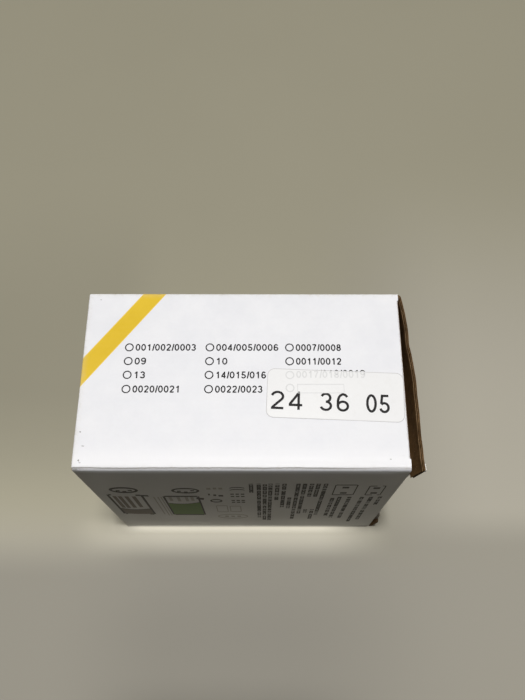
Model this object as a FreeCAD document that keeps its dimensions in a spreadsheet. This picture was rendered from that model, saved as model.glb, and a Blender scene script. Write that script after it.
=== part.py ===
"""A boxed pair of headlight bulbs: a fluted-board carton with a hinged end, a folded
board cradle inside it, and two LED headlight bulbs that slide out of the cradle.

Frame: +X runs along the carton towards its opening end, +Y to its back, +Z up. The
origin is the middle of the bottom of the whole object's box. Sizes are in millimetres.
"""
import FreeCAD, Part
import Sketcher
import os
import re

SIZES = {
    # carton
    "tube_length": 150.0,  # along X
    "tube_depth": 87.3,  # along Y
    "tube_height": 143.8,  # along Z
    "board": 1.6,  # thickness of the fluted board
    "board_gap": 0.05,  # air between two folded layers
    "edge_round": 1.4,  # rounding of a creased edge
    "end_overhang": 5.9,  # how far the ajar closure stands out of the tube
    # opening end
    "closure_width": 84.9,  # from its crease to its free edge, along its inner face
    "closure_slope": 6.4,  # degrees that it leans out at its crease
    "closure_bow": 700.0,  # radius of its bowed inner face
    "closure_inset": 0.8,  # less than the tube's height, at top and bottom
    "tuck_length": 15.0,
    "tuck_lean": 6.0,  # degrees that the tuck leans in from the front panel
    "tuck_inset": 15.0,
    "tuck_gap": 0.12,
    "flap_length": 50.0,
    "flap_root_inset": 2.0,  # dust flaps, hinge side
    "flap_hinge_taper": 31.0,
    "flap_tuck_inset": 5.6,  # dust flaps, tuck side
    "flap_tuck_taper": 8.0,
    # locked end
    "lock_inset": 3.2,  # of the outer pair's sides, from the tube's
    "hook_inset": 1.75,  # the same of the inner pair
    "lock_length": 60.0,
    "lock_taper": 12.0,
    "lock_hook": 7.0,
    "tab_width": 15.0,
    "tab_inset": 5.0,
    # label on the top panel
    "label_length": 63.0,
    "label_width": 24.3,
    "label_thick": 0.1,
    "label_round": 3.5,
    "label_x": 42.7,
    "label_y": -8.45,
    "label_turn": -2.3,
    # cradle and leaflet
    "cradle_length": 129.0,
    "cradle_depth": 81.0,
    "cradle_height": 140.0,
    "cradle_x": -71.4,  # its closed end
    "cradle_y": -1.1,  # its middle, where the two halves meet
    "pocket_pitch": 68.0,  # between the two bulbs' axes
    "deck_hole_r": 18.3,
    "outer_deck_x": 36.0,
    "inner_deck_x": 10.0,
    "leaflet_length": 110.0,
    "leaflet_height": 105.0,
    "leaflet_thick": 1.0,
    # bulb, along X from the collar's seating plane
    "bulb_x": -1.5,  # that plane, from the middle of the tube
    "core_front": -40.0,
    "core_back": 5.0,
    "core_width": 8.4,
    "core_thick": 2.2,
    "slot_play": 0.1,
    "strip_front": -38.0,
    "strip_length": 23.8,
    "strip_width": 7.2,
    "strip_thick": 0.8,
    "light_centre": -25.0,
    "chip_pitch": 2.2,
    "chip_length": 1.8,
    "chip_width": 3.0,
    "chip_thick": 0.5,
    "cap_front": -44.0,
    "cap_back": -38.4,
    "cap_r": 5.4,
    "cap_nose_r": 3.8,
    "cap_brow_r": 4.8,
    "cap_brow": 0.6,  # length of the nose's first, steep slope
    "cap_shoulder": 1.8,  # length of both slopes
    "neck_r": 7.5,
    "neck_front": -14.0,
    "neck_chamfer": 1.0,
    "shoulder_x": 3.5,
    "shoulder_r": 12.5,
    "fin_front": 6.0,
    "body_r": 18.0,
    "body_chamfer": 1.5,
    "sink_back": 29.0,
    "fin_count": 18.0,
    "fin_root_r": 12.0,
    "fin_gap": 3.0,
    "fin_floor": 2.0,  # solid ends of the finned barrel
    "collar_r": 13.0,
    "collar_thick": 1.8,
    "collar_hub_r": 9.6,
    "collar_hub_front": -8.2,
    "collar_play": 0.05,
    "collar_tab_r": 15.6,
    "collar_tab_width": 6.0,
    "ring_front": -9.6,
    "ring_thick": 1.1,
    "ring_r": 9.2,
    "seal_r": 8.8,
    "seal_wire_r": 1.2,
    "seal_x": 1.6,
    "board_disc_r": 15.6,
    "board_disc_x": 30.0,
    "board_disc_thick": 1.2,
    "capacitor_r": 3.0,
    "capacitor_length": 4.5,
    "capacitor_y": -8.0,
    "capacitor_z": 4.0,
    "choke_side": 6.0,
    "choke_length": 3.2,
    "choke_y": 7.0,
    "choke_z": 5.0,
    "driver_chip_width": 5.0,
    "driver_chip_height": 4.0,
    "driver_chip_thick": 1.4,
    "driver_chip_z": -8.0,
    "housing_front": 29.05,
    "housing_back": 45.0,
    "housing_inner_r": 16.4,
    "strut_x": 42.2,
    "strut_width": 2.4,
    "motor_r": 5.0,
    "strut_root": 0.5,  # where a strut starts, out from the axis
    "side_vent_count": 6.0,
    "side_vent_x": 32.5,
    "side_vent_length": 4.5,
    "side_vent_width": 4.4,
    "side_vent_root": 15.0,
    "side_vent_depth": 4.0,
    "screw_circle_r": 14.4,
    "screw_boss_r": 2.2,
    "screw_r": 0.9,
    "screw_head_r": 1.6,
    "screw_head_thick": 1.1,
    "rotor_front": 37.2,
    "rotor_back": 41.9,
    "rotor_hub_r": 5.4,
    "rotor_r": 15.9,
    "blade_thick": 0.7,
    "blade_chord": 7.0,
    "blade_root_r": 3.0,
    "blade_lean": 38.0,
    "blade_count": 7.0,
    "cover_back": 47.2,
    "vent_inner_r": 8.6,
    "vent_outer_r": 15.6,
    "vent_width": 2.2,
    "vent_count": 12.0,
    "vent_front": 44.0,
    "vent_depth": 4.0,
    "plug_back": 51.0,
    "plug_width": 13.0,
    "plug_height": 11.0,
    "blade_terminal_back": 59.0,
    "terminal_width": 4.8,
    "terminal_thick": 0.8,
    "terminal_pitch": 7.0,
    "terminal_inset": 0.5,  # of its inner end, from the cover's inner face
    "screw_well": 0.6,  # solid end of a screw's hole
    "screw_end_gap": 0.2,
}

AXIS_X = FreeCAD.Vector(1, 0, 0)
AXIS_Z = FreeCAD.Vector(0, 0, 1)
FLAT = FreeCAD.Rotation()
UPRIGHT_ALONG_X = FreeCAD.Rotation(AXIS_X, 90)  # sketch x, y, normal -> X, Z, -Y
UPRIGHT_ALONG_Y = FreeCAD.Rotation(FreeCAD.Vector(1, 1, 1), 120)  # -> Y, Z, X
ALONG_X = FreeCAD.Rotation(FreeCAD.Vector(0, 1, 0), 90)  # a cylinder's axis -> X

HALF_LENGTH = "tube_length / 2"
HALF_DEPTH = "tube_depth / 2"
SECTOR = "2 * asin(closure_width / 2 / closure_bow)"
CLOSURE_HINGE_Y = f"({HALF_DEPTH} + board_gap)"
TUCK_X = (
    f"({HALF_LENGTH} - tuck_gap + closure_bow"
    f" * (cos(closure_slope * 1deg - {SECTOR}) - cos(closure_slope * 1deg)))"
)
TUCK_Y = f"(board + 2 * board_gap + tuck_gap - {HALF_DEPTH})"

doc = FreeCAD.newDocument("boxed_headlight_bulbs")
nodes = []


def make_sheet():
    sheet = doc.addObject("Spreadsheet::Sheet", "Sizes")
    for row, (alias, value) in enumerate(SIZES.items(), start=1):
        sheet.set(f"A{row}", alias.replace("_", " "))
        sheet.set(f"B{row}", str(value))
        sheet.setAlias(f"B{row}", alias)
    doc.recompute()


def formula(text):
    """Turn the plain names of sizes into references to the sheet."""
    return re.sub(r"[a-z_]+", lambda m: "Sizes." + m[0] if m[0] in SIZES else m[0], str(text))


def bind(thing, **sizes):
    for name, text in sizes.items():
        thing.setExpression(name, formula(text))
    return thing


def put(thing, x="0", y="0", z="0", turn=FLAT):
    """Place a thing, its position bound to the sheet."""
    thing.Placement = FreeCAD.Placement(FreeCAD.Vector(), turn)
    for axis, text in zip("xyz", (x, y, z)):
        thing.setExpression(f"Placement.Base.{axis}", formula(text))
    return thing


def node(thing, label, x="0", y="0", z="0", turn=FLAT):
    """Name a finished sub-part and place it; x is counted from the middle of the tube."""
    thing.Label = label
    nodes.append(thing)
    return put(thing, f"{x} - end_overhang / 2", y, z, turn)


# ---- makers -------------------------------------------------------------------------


def new_body():
    return doc.addObject("PartDesign::Body", "Body")


def outline(body, points, plane="XY_Plane"):
    """A closed sketch of straight edges through points, each coordinate a formula."""
    sketch = body.newObject("Sketcher::SketchObject", "Outline")
    origin_plane = next(item for item in body.Origin.OriginFeatures if item.Role == plane)
    sketch.AttachmentSupport = [(origin_plane, "")]
    sketch.MapMode = "FlatFace"
    start = FreeCAD.Vector(10, 0, 0)
    corners = [
        FreeCAD.Rotation(AXIS_Z, 360 * index / len(points)).multVec(start)
        for index in range(len(points))
    ]
    for corner, following in zip(corners, corners[1:] + corners[:1]):
        sketch.addGeometry(Part.LineSegment(corner, following), False)
    for index in range(len(points)):
        following = (index + 1) % len(points)
        sketch.addConstraint(Sketcher.Constraint("Coincident", index, 2, following, 1))
    for index, (corner, point) in enumerate(zip(corners, points)):
        for kind, value, text in zip(("DistanceX", "DistanceY"), corner, point):
            number = sketch.addConstraint(
                Sketcher.Constraint(kind, -1, 1, index, 1, value)
            )
            sketch.setExpression(f"Constraints[{number}]", formula(text))
    return sketch


def rectangle(low_x, high_x, low_y, high_y):
    return [(low_x, low_y), (high_x, low_y), (high_x, high_y), (low_x, high_y)]


def plate(points, thick="board"):
    """A flat piece of sheet with the given outline, padded towards the sketch's normal."""
    body = new_body()
    pad = body.newObject("PartDesign::Pad", "Pad")
    pad.Profile = outline(body, points)
    bind(pad, Length=thick)
    return body


def round_edges(body, wanted, radius):
    """Round the edges of a body's last feature that wanted(edge) picks."""
    doc.recompute()
    base = body.Tip
    names = [
        f"Edge{number}" for number, edge in enumerate(base.Shape.Edges, 1) if wanted(edge)
    ]
    fillet = body.newObject("PartDesign::Fillet", "Fillet")
    fillet.Base = (base, names)
    bind(fillet, Radius=radius)


def turned(points):
    """A solid of revolution about X from an outline of (x, radius) points."""
    body = new_body()
    sketch = outline(body, points)
    turn = body.newObject("PartDesign::Revolution", "Revolution")
    turn.Profile = sketch
    turn.ReferenceAxis = (sketch, ["H_Axis"])
    turn.Angle = 360
    return body


def ring(front, back, inner, outer):
    return turned(rectangle(front, back, inner, outer))


def box(length, width, height):
    return bind(doc.addObject("Part::Box", "Box"), Length=length, Width=width, Height=height)


def middle_box(low_x, high_x, width, height, y="0", z="0"):
    """A box from low_x to high_x, centred on y and z."""
    block = box(f"{high_x} - ({low_x})", width, height)
    return put(block, low_x, f"{y} - ({width}) / 2", f"{z} - ({height}) / 2")


def rod(low_x, high_x, radius, y="0", z="0"):
    """A cylinder along X."""
    bar = doc.addObject("Part::Cylinder", "Cylinder")
    bind(bar, Radius=radius, Height=f"{high_x} - ({low_x})")
    return put(bar, low_x, y, z, ALONG_X)


def fused(shapes):
    union = doc.addObject("Part::MultiFuse", "Fuse")
    union.Shapes = shapes
    return union


def cut(base, tools):
    difference = doc.addObject("Part::Cut", "Cut")
    difference.Base = base
    difference.Tool = tools[0] if len(tools) == 1 else fused(tools)
    return difference


def together(shapes):
    """Separate solids kept as one node."""
    group = doc.addObject("Part::Compound", "Group")
    group.Links = shapes
    return group


def around_x(thing, angle, x, y, z, lean=0):
    """Lean a thing about its own Z, set it at x, y, z and swing it round the X axis."""
    swing = FreeCAD.Placement(FreeCAD.Vector(), FreeCAD.Rotation(AXIS_X, angle))
    own = FreeCAD.Placement(FreeCAD.Vector(x, y, z), FreeCAD.Rotation(AXIS_Z, lean))
    thing.Placement = swing.multiply(own)
    return thing


def spaced(count):
    return [360 * index / count for index in range(int(count))]


# ---- carton -------------------------------------------------------------------------


def along_tube(edge):
    """Whether an edge of a flat panel's outer face runs along the tube."""
    start, end = (vertex.Point for vertex in edge.Vertexes)
    return abs(start.x - end.x) > SIZES["tube_length"] / 2 and start.z > SIZES["board"] / 2


def make_walls():
    face = rectangle(f"-{HALF_LENGTH}", HALF_LENGTH, f"-{HALF_DEPTH}", HALF_DEPTH)
    top = plate(face)
    round_edges(top, along_tube, "edge_round")
    node(top, "top_panel", z="tube_height - board")
    base = plate(face)
    round_edges(base, along_tube, "edge_round")
    node(base, "base_panel", z="board", turn=FreeCAD.Rotation(AXIS_X, 180))
    side = rectangle(f"-{HALF_LENGTH}", HALF_LENGTH, "board", "tube_height - board")
    node(plate(side), "front_panel", y=f"board - {HALF_DEPTH}", turn=UPRIGHT_ALONG_X)
    node(plate(side), "back_panel", y=HALF_DEPTH, turn=UPRIGHT_ALONG_X)
    tab = rectangle(
        f"tab_inset - {HALF_LENGTH}",
        f"{HALF_LENGTH} - tab_inset",
        "board + board_gap",
        "board + tab_width",
    )
    node(plate(tab), "glue_tab", y=f"{HALF_DEPTH} - board - board_gap", turn=UPRIGHT_ALONG_X)


def make_closure():
    """The end panel: a bowed sheet, creased along the back panel's upright edge."""
    height = "tube_height - 2 * closure_inset"
    sheet = []
    for radius in ("closure_bow + board", "closure_bow"):
        sector = doc.addObject("Part::Cylinder", "Bow")
        sheet.append(bind(sector, Radius=radius, Height=height, Angle=SECTOR))
    panel = cut(sheet[0], sheet[1:])
    node(
        panel,
        "closure_panel",
        f"{HALF_LENGTH} - closure_bow * cos(closure_slope * 1deg)",
        f"{CLOSURE_HINGE_Y} - closure_bow * sin(closure_slope * 1deg)",
        "closure_inset",
    )
    panel.Placement = FreeCAD.Placement(FreeCAD.Vector(), FreeCAD.Rotation(AXIS_Z, 1))
    bind(panel, **{"Placement.Rotation.Angle": f"closure_slope * 1deg - {SECTOR}"})
    tuck = plate(rectangle("-tuck_length", "0", "tuck_inset", "tube_height - tuck_inset"))
    lean = FreeCAD.Rotation(AXIS_Z, -SIZES["tuck_lean"])
    node(tuck, "tuck_flap", TUCK_X, f"{TUCK_Y} + board", turn=lean.multiply(UPRIGHT_ALONG_X))


def make_dust_flaps():
    """Trapezoids: the closure side slants so that they clear the closure as it swings."""
    root = "board + board_gap"
    tip = "board + flap_length"
    hinge_side = f"{HALF_DEPTH} - board - flap_root_inset"
    tuck_side = f"flap_tuck_inset - {HALF_DEPTH}"
    slant = "flap_length * tan(flap_hinge_taper * 1deg)"
    points = [
        (tuck_side, root),
        (hinge_side, root),
        (f"{hinge_side} - {slant}", tip),
        (f"{tuck_side} + flap_tuck_taper", tip),
    ]
    upper = [(y, f"tube_height - ({z})") for y, z in points]
    for label, corners in (("dust_flap_lower", points), ("dust_flap_upper", upper)):
        node(plate(corners), label, f"{HALF_LENGTH} - board", turn=UPRIGHT_ALONG_Y)


def make_locked_end():
    """Four glued flaps: the upper and lower outside, the hooked pair inside them."""
    side = f"({HALF_DEPTH} - lock_inset)"
    low, high = "board + board_gap", "tube_height - board - board_gap"
    points = [
        (f"-{side}", low),
        (side, low),
        (f"{side} - lock_taper", "lock_length"),
        (f"lock_taper - {side}", "lock_length"),
    ]
    upper = [(y, f"tube_height - ({z})") for y, z in points]
    for label, corners in (("lock_flap_lower", points), ("lock_flap_upper", upper)):
        node(plate(corners), label, f"-{HALF_LENGTH}", turn=UPRIGHT_ALONG_Y)
    side = f"({HALF_DEPTH} - hook_inset)"
    seam = [
        ("lock_hook", low),
        ("lock_hook", "tube_height / 2 - lock_hook"),
        ("-lock_hook", "tube_height / 2 + lock_hook"),
        ("-lock_hook", high),
    ]
    front = seam + [(f"-{side}", high), (f"-{side}", low)]
    back = [(f"{y} + board_gap", z) for y, z in seam] + [(side, high), (side, low)]
    inner = f"board + board_gap - {HALF_LENGTH}"
    node(plate(front), "lock_flap_front", inner, turn=UPRIGHT_ALONG_Y)
    node(plate(back), "lock_flap_back", inner, turn=UPRIGHT_ALONG_Y)


def is_upright(edge):
    start, end = (vertex.Point for vertex in edge.Vertexes)
    return abs(start.z - end.z) > SIZES["label_thick"] / 2


def make_label():
    half_x, half_y = "label_length / 2", "label_width / 2"
    label = plate(rectangle(f"-{half_x}", half_x, f"-{half_y}", half_y), "label_thick")
    round_edges(label, is_upright, "label_round")
    turn = FreeCAD.Rotation(AXIS_Z, SIZES["label_turn"])
    node(label, "stock_label", "label_x", "label_y", "tube_height", turn)


# ---- cradle and leaflet -------------------------------------------------------------


def make_cradle():
    """A folded board sleeve: two side sheets, and two decks that hold the bulbs' barrels."""
    bottom = "board + board_gap"
    sheet = rectangle("0", "cradle_length", bottom, f"{bottom} + cradle_height")
    front = "cradle_y - cradle_depth / 2"
    back = "cradle_y + cradle_depth / 2"
    node(plate(sheet), "cradle_front", "cradle_x", f"{front} + board", turn=UPRIGHT_ALONG_X)
    node(plate(sheet), "cradle_back", "cradle_x", back, turn=UPRIGHT_ALONG_X)
    half_width = "(cradle_depth / 2 - board - board_gap)"
    half_height = "cradle_height / 2"
    deck = rectangle(f"-{half_width}", half_width, f"-{half_height}", half_height)
    middle = f"{bottom} + cradle_height / 2"
    for position in ("outer", "inner"):
        blank = plate(deck)
        put(blank, turn=UPRIGHT_ALONG_Y)
        holes = [
            rod("-board", "2 * board", "deck_hole_r", z=f"{side} * pocket_pitch / 2")
            for side in (-1, 1)
        ]
        holed = cut(blank, holes)
        node(holed, f"cradle_deck_{position}", f"{position}_deck_x", "cradle_y", middle)


def make_leaflet():
    """A folded sheet that stands between the cradle and the back panel."""
    sheet = box("leaflet_length", "leaflet_thick", "leaflet_height")
    behind = f"{HALF_DEPTH} - board - 4 * board_gap - leaflet_thick"
    node(sheet, "leaflet", "2 * tab_inset - tube_length / 2", behind, "board + tab_width + 1")


# ---- bulbs --------------------------------------------------------------------------


def make_core():
    return middle_box("core_front", "core_back", "core_width", "core_thick")


def on_both_faces(low_x, high_x, width, base, thick):
    """A flat box above the core, base away from its middle, and its twin below."""
    middle = f"({base} + {thick} / 2)"
    return [middle_box(low_x, high_x, width, thick, z=f"{side} * {middle}") for side in (-1, 1)]


def make_strips():
    end = "strip_front + strip_length"
    return together(
        on_both_faces("strip_front", end, "strip_width", "core_thick / 2", "strip_thick")
    )


def make_chips():
    chips = []
    base = "core_thick / 2 + strip_thick"
    for place in (-1, 0, 1):
        middle = f"light_centre + {place} * chip_pitch"
        low, high = f"{middle} - chip_length / 2", f"{middle} + chip_length / 2"
        chips += on_both_faces(low, high, "chip_width", base, "chip_thick")
    return together(chips)


def slot_for_core(high_x):
    return middle_box("core_front", high_x, "core_width + slot_play", "core_thick + slot_play")


def make_tip_cap():
    shell = turned(
        [
            ("cap_front", "0"),
            ("cap_front", "cap_nose_r"),
            ("cap_front + cap_brow", "cap_brow_r"),
            ("cap_front + cap_shoulder", "cap_r"),
            ("cap_back", "cap_r"),
            ("cap_back", "0"),
        ]
    )
    return cut(shell, [slot_for_core("cap_back + 1")])


def make_heat_sink():
    """Neck, shoulder and finned barrel, turned from one bar, with the core's slot."""
    body = turned(
        [
            ("neck_front", "0"),
            ("neck_front", "neck_r - neck_chamfer"),
            ("neck_front + neck_chamfer", "neck_r"),
            ("shoulder_x", "neck_r"),
            ("shoulder_x", "shoulder_r"),
            ("fin_front", "body_r - body_chamfer"),
            ("fin_front + body_chamfer", "body_r"),
            ("sink_back", "body_r"),
            ("sink_back", "0"),
        ]
    )
    half = "fin_gap / 2"
    notch = outline(body, rectangle(f"-{half}", half, "fin_root_r", "body_r + 2"), "YZ_Plane")
    gap = body.newObject("PartDesign::Pocket", "Gap")
    gap.Profile = notch
    gap.Reversed = True
    bind(gap, Length="sink_back - fin_floor")
    pattern = body.newObject("PartDesign::PolarPattern", "Fins")
    pattern.Originals = [gap]
    pattern.Axis = (notch, ["N_Axis"])
    pattern.Angle = 360
    bind(pattern, Occurrences="fin_count")
    body.Tip = pattern
    return cut(body, [slot_for_core("core_back + slot_play")])


def make_collar():
    """The lamp-holder collar: a flange with three tabs on a hub that turns on the neck."""
    bore = "neck_r + collar_play"
    flange = ring("-collar_thick", "0", bore, "collar_r")
    hub = ring("collar_hub_front", "-collar_thick", bore, "collar_hub_r")
    tabs = []
    for angle in spaced(3):
        tab = box("collar_thick", "collar_tab_width", "collar_tab_r - collar_hub_r")
        edge = -SIZES["collar_tab_width"] / 2
        tabs.append(around_x(tab, angle, -SIZES["collar_thick"], edge, SIZES["collar_hub_r"]))
    return fused([flange, hub] + tabs)


def make_retaining_ring():
    return ring("ring_front", "ring_front + ring_thick", "neck_r + collar_play", "ring_r")


def make_seal():
    torus = doc.addObject("Part::Torus", "Seal")
    bind(torus, Radius1="seal_r", Radius2="seal_wire_r")
    return put(torus, "seal_x", turn=ALONG_X)


def make_driver_board():
    """A round circuit board with its tallest components."""
    face = "board_disc_x + board_disc_thick"
    disc = rod("board_disc_x", face, "board_disc_r")
    end = f"{face} + capacitor_length"
    capacitor = rod(face, end, "capacitor_r", "capacitor_y", "capacitor_z")
    end = f"{face} + choke_length"
    choke = middle_box(face, end, "choke_side", "choke_side", "choke_y", "choke_z")
    end = f"{face} + driver_chip_thick"
    chip = middle_box(face, end, "driver_chip_width", "driver_chip_height", "0", "driver_chip_z")
    return fused([disc, capacitor, choke, chip])


def screw_rod(low_x, high_x, radius, angle):
    """A cylinder along X on the circle of the cover's screws."""
    bar = rod(low_x, high_x, radius)
    height = SIZES["screw_circle_r"]
    swing = FreeCAD.Rotation(AXIS_X, angle).multVec(FreeCAD.Vector(0, 0, height))
    bar.setExpression("Placement.Base.y", str(round(swing.y, 6)))
    bar.setExpression("Placement.Base.z", str(round(swing.z, 6)))
    return bar


def make_housing():
    """The shell round the driver board and the fan, with the fan's struts and motor boss."""
    shell = ring("housing_front", "housing_back", "housing_inner_r", "body_r")
    parts = [shell, rod("strut_x", "housing_back", "motor_r")]
    holes = []
    for angle in spaced(3):
        strut = box("housing_back - strut_x", "strut_width", "housing_inner_r")
        edge = -SIZES["strut_width"] / 2
        parts.append(around_x(strut, angle, SIZES["strut_x"], edge, SIZES["strut_root"]))
        parts.append(screw_rod("strut_x", "housing_back", "screw_boss_r", angle))
        holes.append(screw_rod("strut_x + screw_well", "cover_back", "screw_r", angle))
    for angle in spaced(SIZES["side_vent_count"]):
        vent = box("side_vent_length", "side_vent_width", "side_vent_depth")
        edge = -SIZES["side_vent_width"] / 2
        holes.append(around_x(vent, angle, SIZES["side_vent_x"], edge, SIZES["side_vent_root"]))
    return cut(fused(parts), holes)


def make_rotor():
    """Hub and leaning blades, trimmed to the fan's swept cylinder."""
    middle = (SIZES["rotor_front"] + SIZES["rotor_back"]) / 2
    lean = FreeCAD.Rotation(AXIS_Z, SIZES["blade_lean"])
    corner = lean.multVec(
        FreeCAD.Vector(-SIZES["blade_chord"] / 2, -SIZES["blade_thick"] / 2, SIZES["blade_root_r"])
    )
    blades = []
    for angle in spaced(SIZES["blade_count"]):
        blade = box("blade_chord", "blade_thick", "rotor_r")
        place = (middle + corner.x, corner.y, corner.z)
        blades.append(around_x(blade, angle, *place, lean=SIZES["blade_lean"]))
    swept = ring("rotor_front", "rotor_back", "blade_root_r", "rotor_r")
    trimmed = doc.addObject("Part::Common", "Trimmed")
    trimmed.Base = fused(blades)
    trimmed.Tool = swept
    hub = rod("rotor_front", "rotor_back", "rotor_hub_r")
    return fused([hub, trimmed])


def terminal(low_x, side):
    place = f"{side} * terminal_pitch / 2"
    return middle_box(low_x, "blade_terminal_back", "terminal_width", "terminal_thick", z=place)


def make_cover():
    """The rear cover: radial vents round a block that holds the two blade terminals."""
    disc = rod("housing_back + board_gap", "cover_back", "body_r")
    block = middle_box("cover_back", "plug_back", "plug_width", "plug_height")
    holes = [terminal("housing_back", side) for side in (-1, 1)]
    for angle in spaced(3):
        holes.append(screw_rod("housing_back", "plug_back", "screw_r", angle))
    half_step = 180 / SIZES["vent_count"]
    for angle in spaced(SIZES["vent_count"]):
        vent = box("vent_depth", "vent_width", "vent_outer_r - vent_inner_r")
        corner = (SIZES["vent_front"], -SIZES["vent_width"] / 2, SIZES["vent_inner_r"])
        holes.append(around_x(vent, angle + half_step, *corner))
    return cut(fused([disc, block]), holes)


def make_terminals():
    return together([terminal("housing_back + terminal_inset", side) for side in (-1, 1)])


def make_screws():
    screws = []
    for angle in spaced(3):
        shank = screw_rod("strut_x + screw_well + screw_end_gap", "cover_back", "screw_r", angle)
        head = screw_rod("cover_back", "cover_back + screw_head_thick", "screw_head_r", angle)
        screws.append(fused([shank, head]))
    return together(screws)


BULB_PIECES = {
    "lamp_core": make_core,
    "led_strips": make_strips,
    "led_chips": make_chips,
    "tip_cap": make_tip_cap,
    "heat_sink": make_heat_sink,
    "lamp_collar": make_collar,
    "retaining_ring": make_retaining_ring,
    "collar_seal": make_seal,
    "driver_board": make_driver_board,
    "fan_housing": make_housing,
    "fan_rotor": make_rotor,
    "rear_cover": make_cover,
    "blade_terminals": make_terminals,
    "cover_screws": make_screws,
}

# Where the placement of a single box or torus starts, from the bulb's own origin.
OWN_CORNERS = {
    "lamp_core": ("core_front", "-core_width / 2", "-core_thick / 2"),
    "collar_seal": ("seal_x", "0", "0"),
}


def make_bulb(number, side):
    height = f"board + board_gap + cradle_height / 2 + {side} * pocket_pitch / 2"
    for name, maker in BULB_PIECES.items():
        piece = maker()
        x, y, z = OWN_CORNERS.get(name, ("0", "0", "0"))
        place = (f"bulb_x + {x}", f"cradle_y + {y}", f"{height} + {z}")
        node(piece, f"{name}_{number}", *place, turn=piece.Placement.Rotation)


# ---- document -----------------------------------------------------------------------


def check_and_write():
    doc.recompute()
    for thing in doc.Objects:
        if "Invalid" in thing.State or "Error" in thing.State:
            raise RuntimeError(f"{thing.Label} did not compute")
    os.makedirs("parts", exist_ok=True)
    for thing in nodes:
        if thing.Shape.isNull() or not thing.Shape.isValid():
            raise RuntimeError(f"{thing.Label} has no valid shape")
        thing.Shape.exportStep(f"parts/{thing.Label}.step")


make_sheet()
make_walls()
make_closure()
make_dust_flaps()
make_locked_end()
make_label()
make_cradle()
make_leaflet()
make_bulb(1, -1)
make_bulb(2, 1)
check_and_write()
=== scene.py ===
import math
import random

import bmesh
import bpy
import numpy as np
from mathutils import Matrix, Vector, noise


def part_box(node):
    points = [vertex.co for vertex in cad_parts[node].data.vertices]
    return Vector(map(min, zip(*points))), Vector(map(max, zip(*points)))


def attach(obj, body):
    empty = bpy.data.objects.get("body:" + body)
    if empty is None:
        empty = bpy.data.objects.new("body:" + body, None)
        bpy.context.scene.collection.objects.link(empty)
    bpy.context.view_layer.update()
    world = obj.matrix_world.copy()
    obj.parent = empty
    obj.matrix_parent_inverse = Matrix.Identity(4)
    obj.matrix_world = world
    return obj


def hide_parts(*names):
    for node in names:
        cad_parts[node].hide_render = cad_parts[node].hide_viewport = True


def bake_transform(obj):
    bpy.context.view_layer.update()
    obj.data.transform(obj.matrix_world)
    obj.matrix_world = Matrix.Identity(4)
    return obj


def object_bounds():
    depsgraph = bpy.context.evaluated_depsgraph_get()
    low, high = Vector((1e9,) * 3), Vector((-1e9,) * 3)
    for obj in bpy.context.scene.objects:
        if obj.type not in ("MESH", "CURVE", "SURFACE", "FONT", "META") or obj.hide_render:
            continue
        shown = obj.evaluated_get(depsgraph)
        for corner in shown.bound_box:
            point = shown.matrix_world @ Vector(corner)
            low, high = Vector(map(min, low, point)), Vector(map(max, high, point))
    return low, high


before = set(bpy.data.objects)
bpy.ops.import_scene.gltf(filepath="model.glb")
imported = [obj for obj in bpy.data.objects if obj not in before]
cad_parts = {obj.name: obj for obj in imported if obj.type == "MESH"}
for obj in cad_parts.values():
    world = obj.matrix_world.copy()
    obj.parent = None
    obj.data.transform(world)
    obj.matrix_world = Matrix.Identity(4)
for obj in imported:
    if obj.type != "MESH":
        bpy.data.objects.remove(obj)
CAD_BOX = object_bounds()

# Everything below is laid out in millimetres in the row frame; a mesh is scaled as it is made.
MM = 0.001


def cad(node):
    """A CAD node's lowest and highest corners in millimetres."""
    low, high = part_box(node)
    return np.array(low) / MM, np.array(high) / MM


# ---- measures taken from the frame ----

LEFT, FRONT = cad("front_panel")[0][:2]
RIGHT, BACK = cad("back_panel")[1][:2]
TOP = cad("top_panel")[1][2]
BOARD = TOP - cad("top_panel")[0][2]
DEPTH = BACK - FRONT
MIDDLE_X = (LEFT + RIGHT) / 2  # the print is laid out from the middle of the tube
CLOSURE_LOW, CLOSURE_HIGH = cad("closure_panel")
TUCK_LOW, TUCK_HIGH = cad("tuck_flap")
FLAP_LOW, FLAP_HIGH = cad("dust_flap_upper")

# ---- the board's own make-up ----

LINER = 0.28  # outer and inner sheet of the fluted board
WALL = 0.07  # half the thickness of the wavy sheet
FLUTE = 3.2  # pitch of the waves
ROLL = 2.3  # radius of the front's creased edges
BACK_ROLL, LEFT_ROLL = 0.75, 0.9  # the same at the back and at the locked end
END_ROLL = 1.0  # radius of the crease at a dust flap
HALF_TURN = math.pi / 4
ROLL_STEPS = 6
CREASE_BACK = 1.05  # where the painted shade of the pressed line lies, behind the front edge
WEAR = 1.6  # how far the wear reaches from a creased edge
FOLD_WEAR = 1.5  # the same from the closure's free edge
CREASE_WORN = 0.8  # wear on the bent board at a hinge
FILM = 0.03  # thickness of a printed mark
UNPRINTED = 150.0  # a place on the unfolded blank that carries no print


# ---- meshes ----


def points(x, y, z):
    """Numbers or arrays for x, y and z, spread to one size and stacked."""
    return np.stack(np.broadcast_arrays(x, y, z), axis=-1)


def put(name, data):
    """A new object, linked into the scene."""
    thing = bpy.data.objects.new(name, data)
    bpy.context.scene.collection.objects.link(thing)
    return thing


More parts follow.
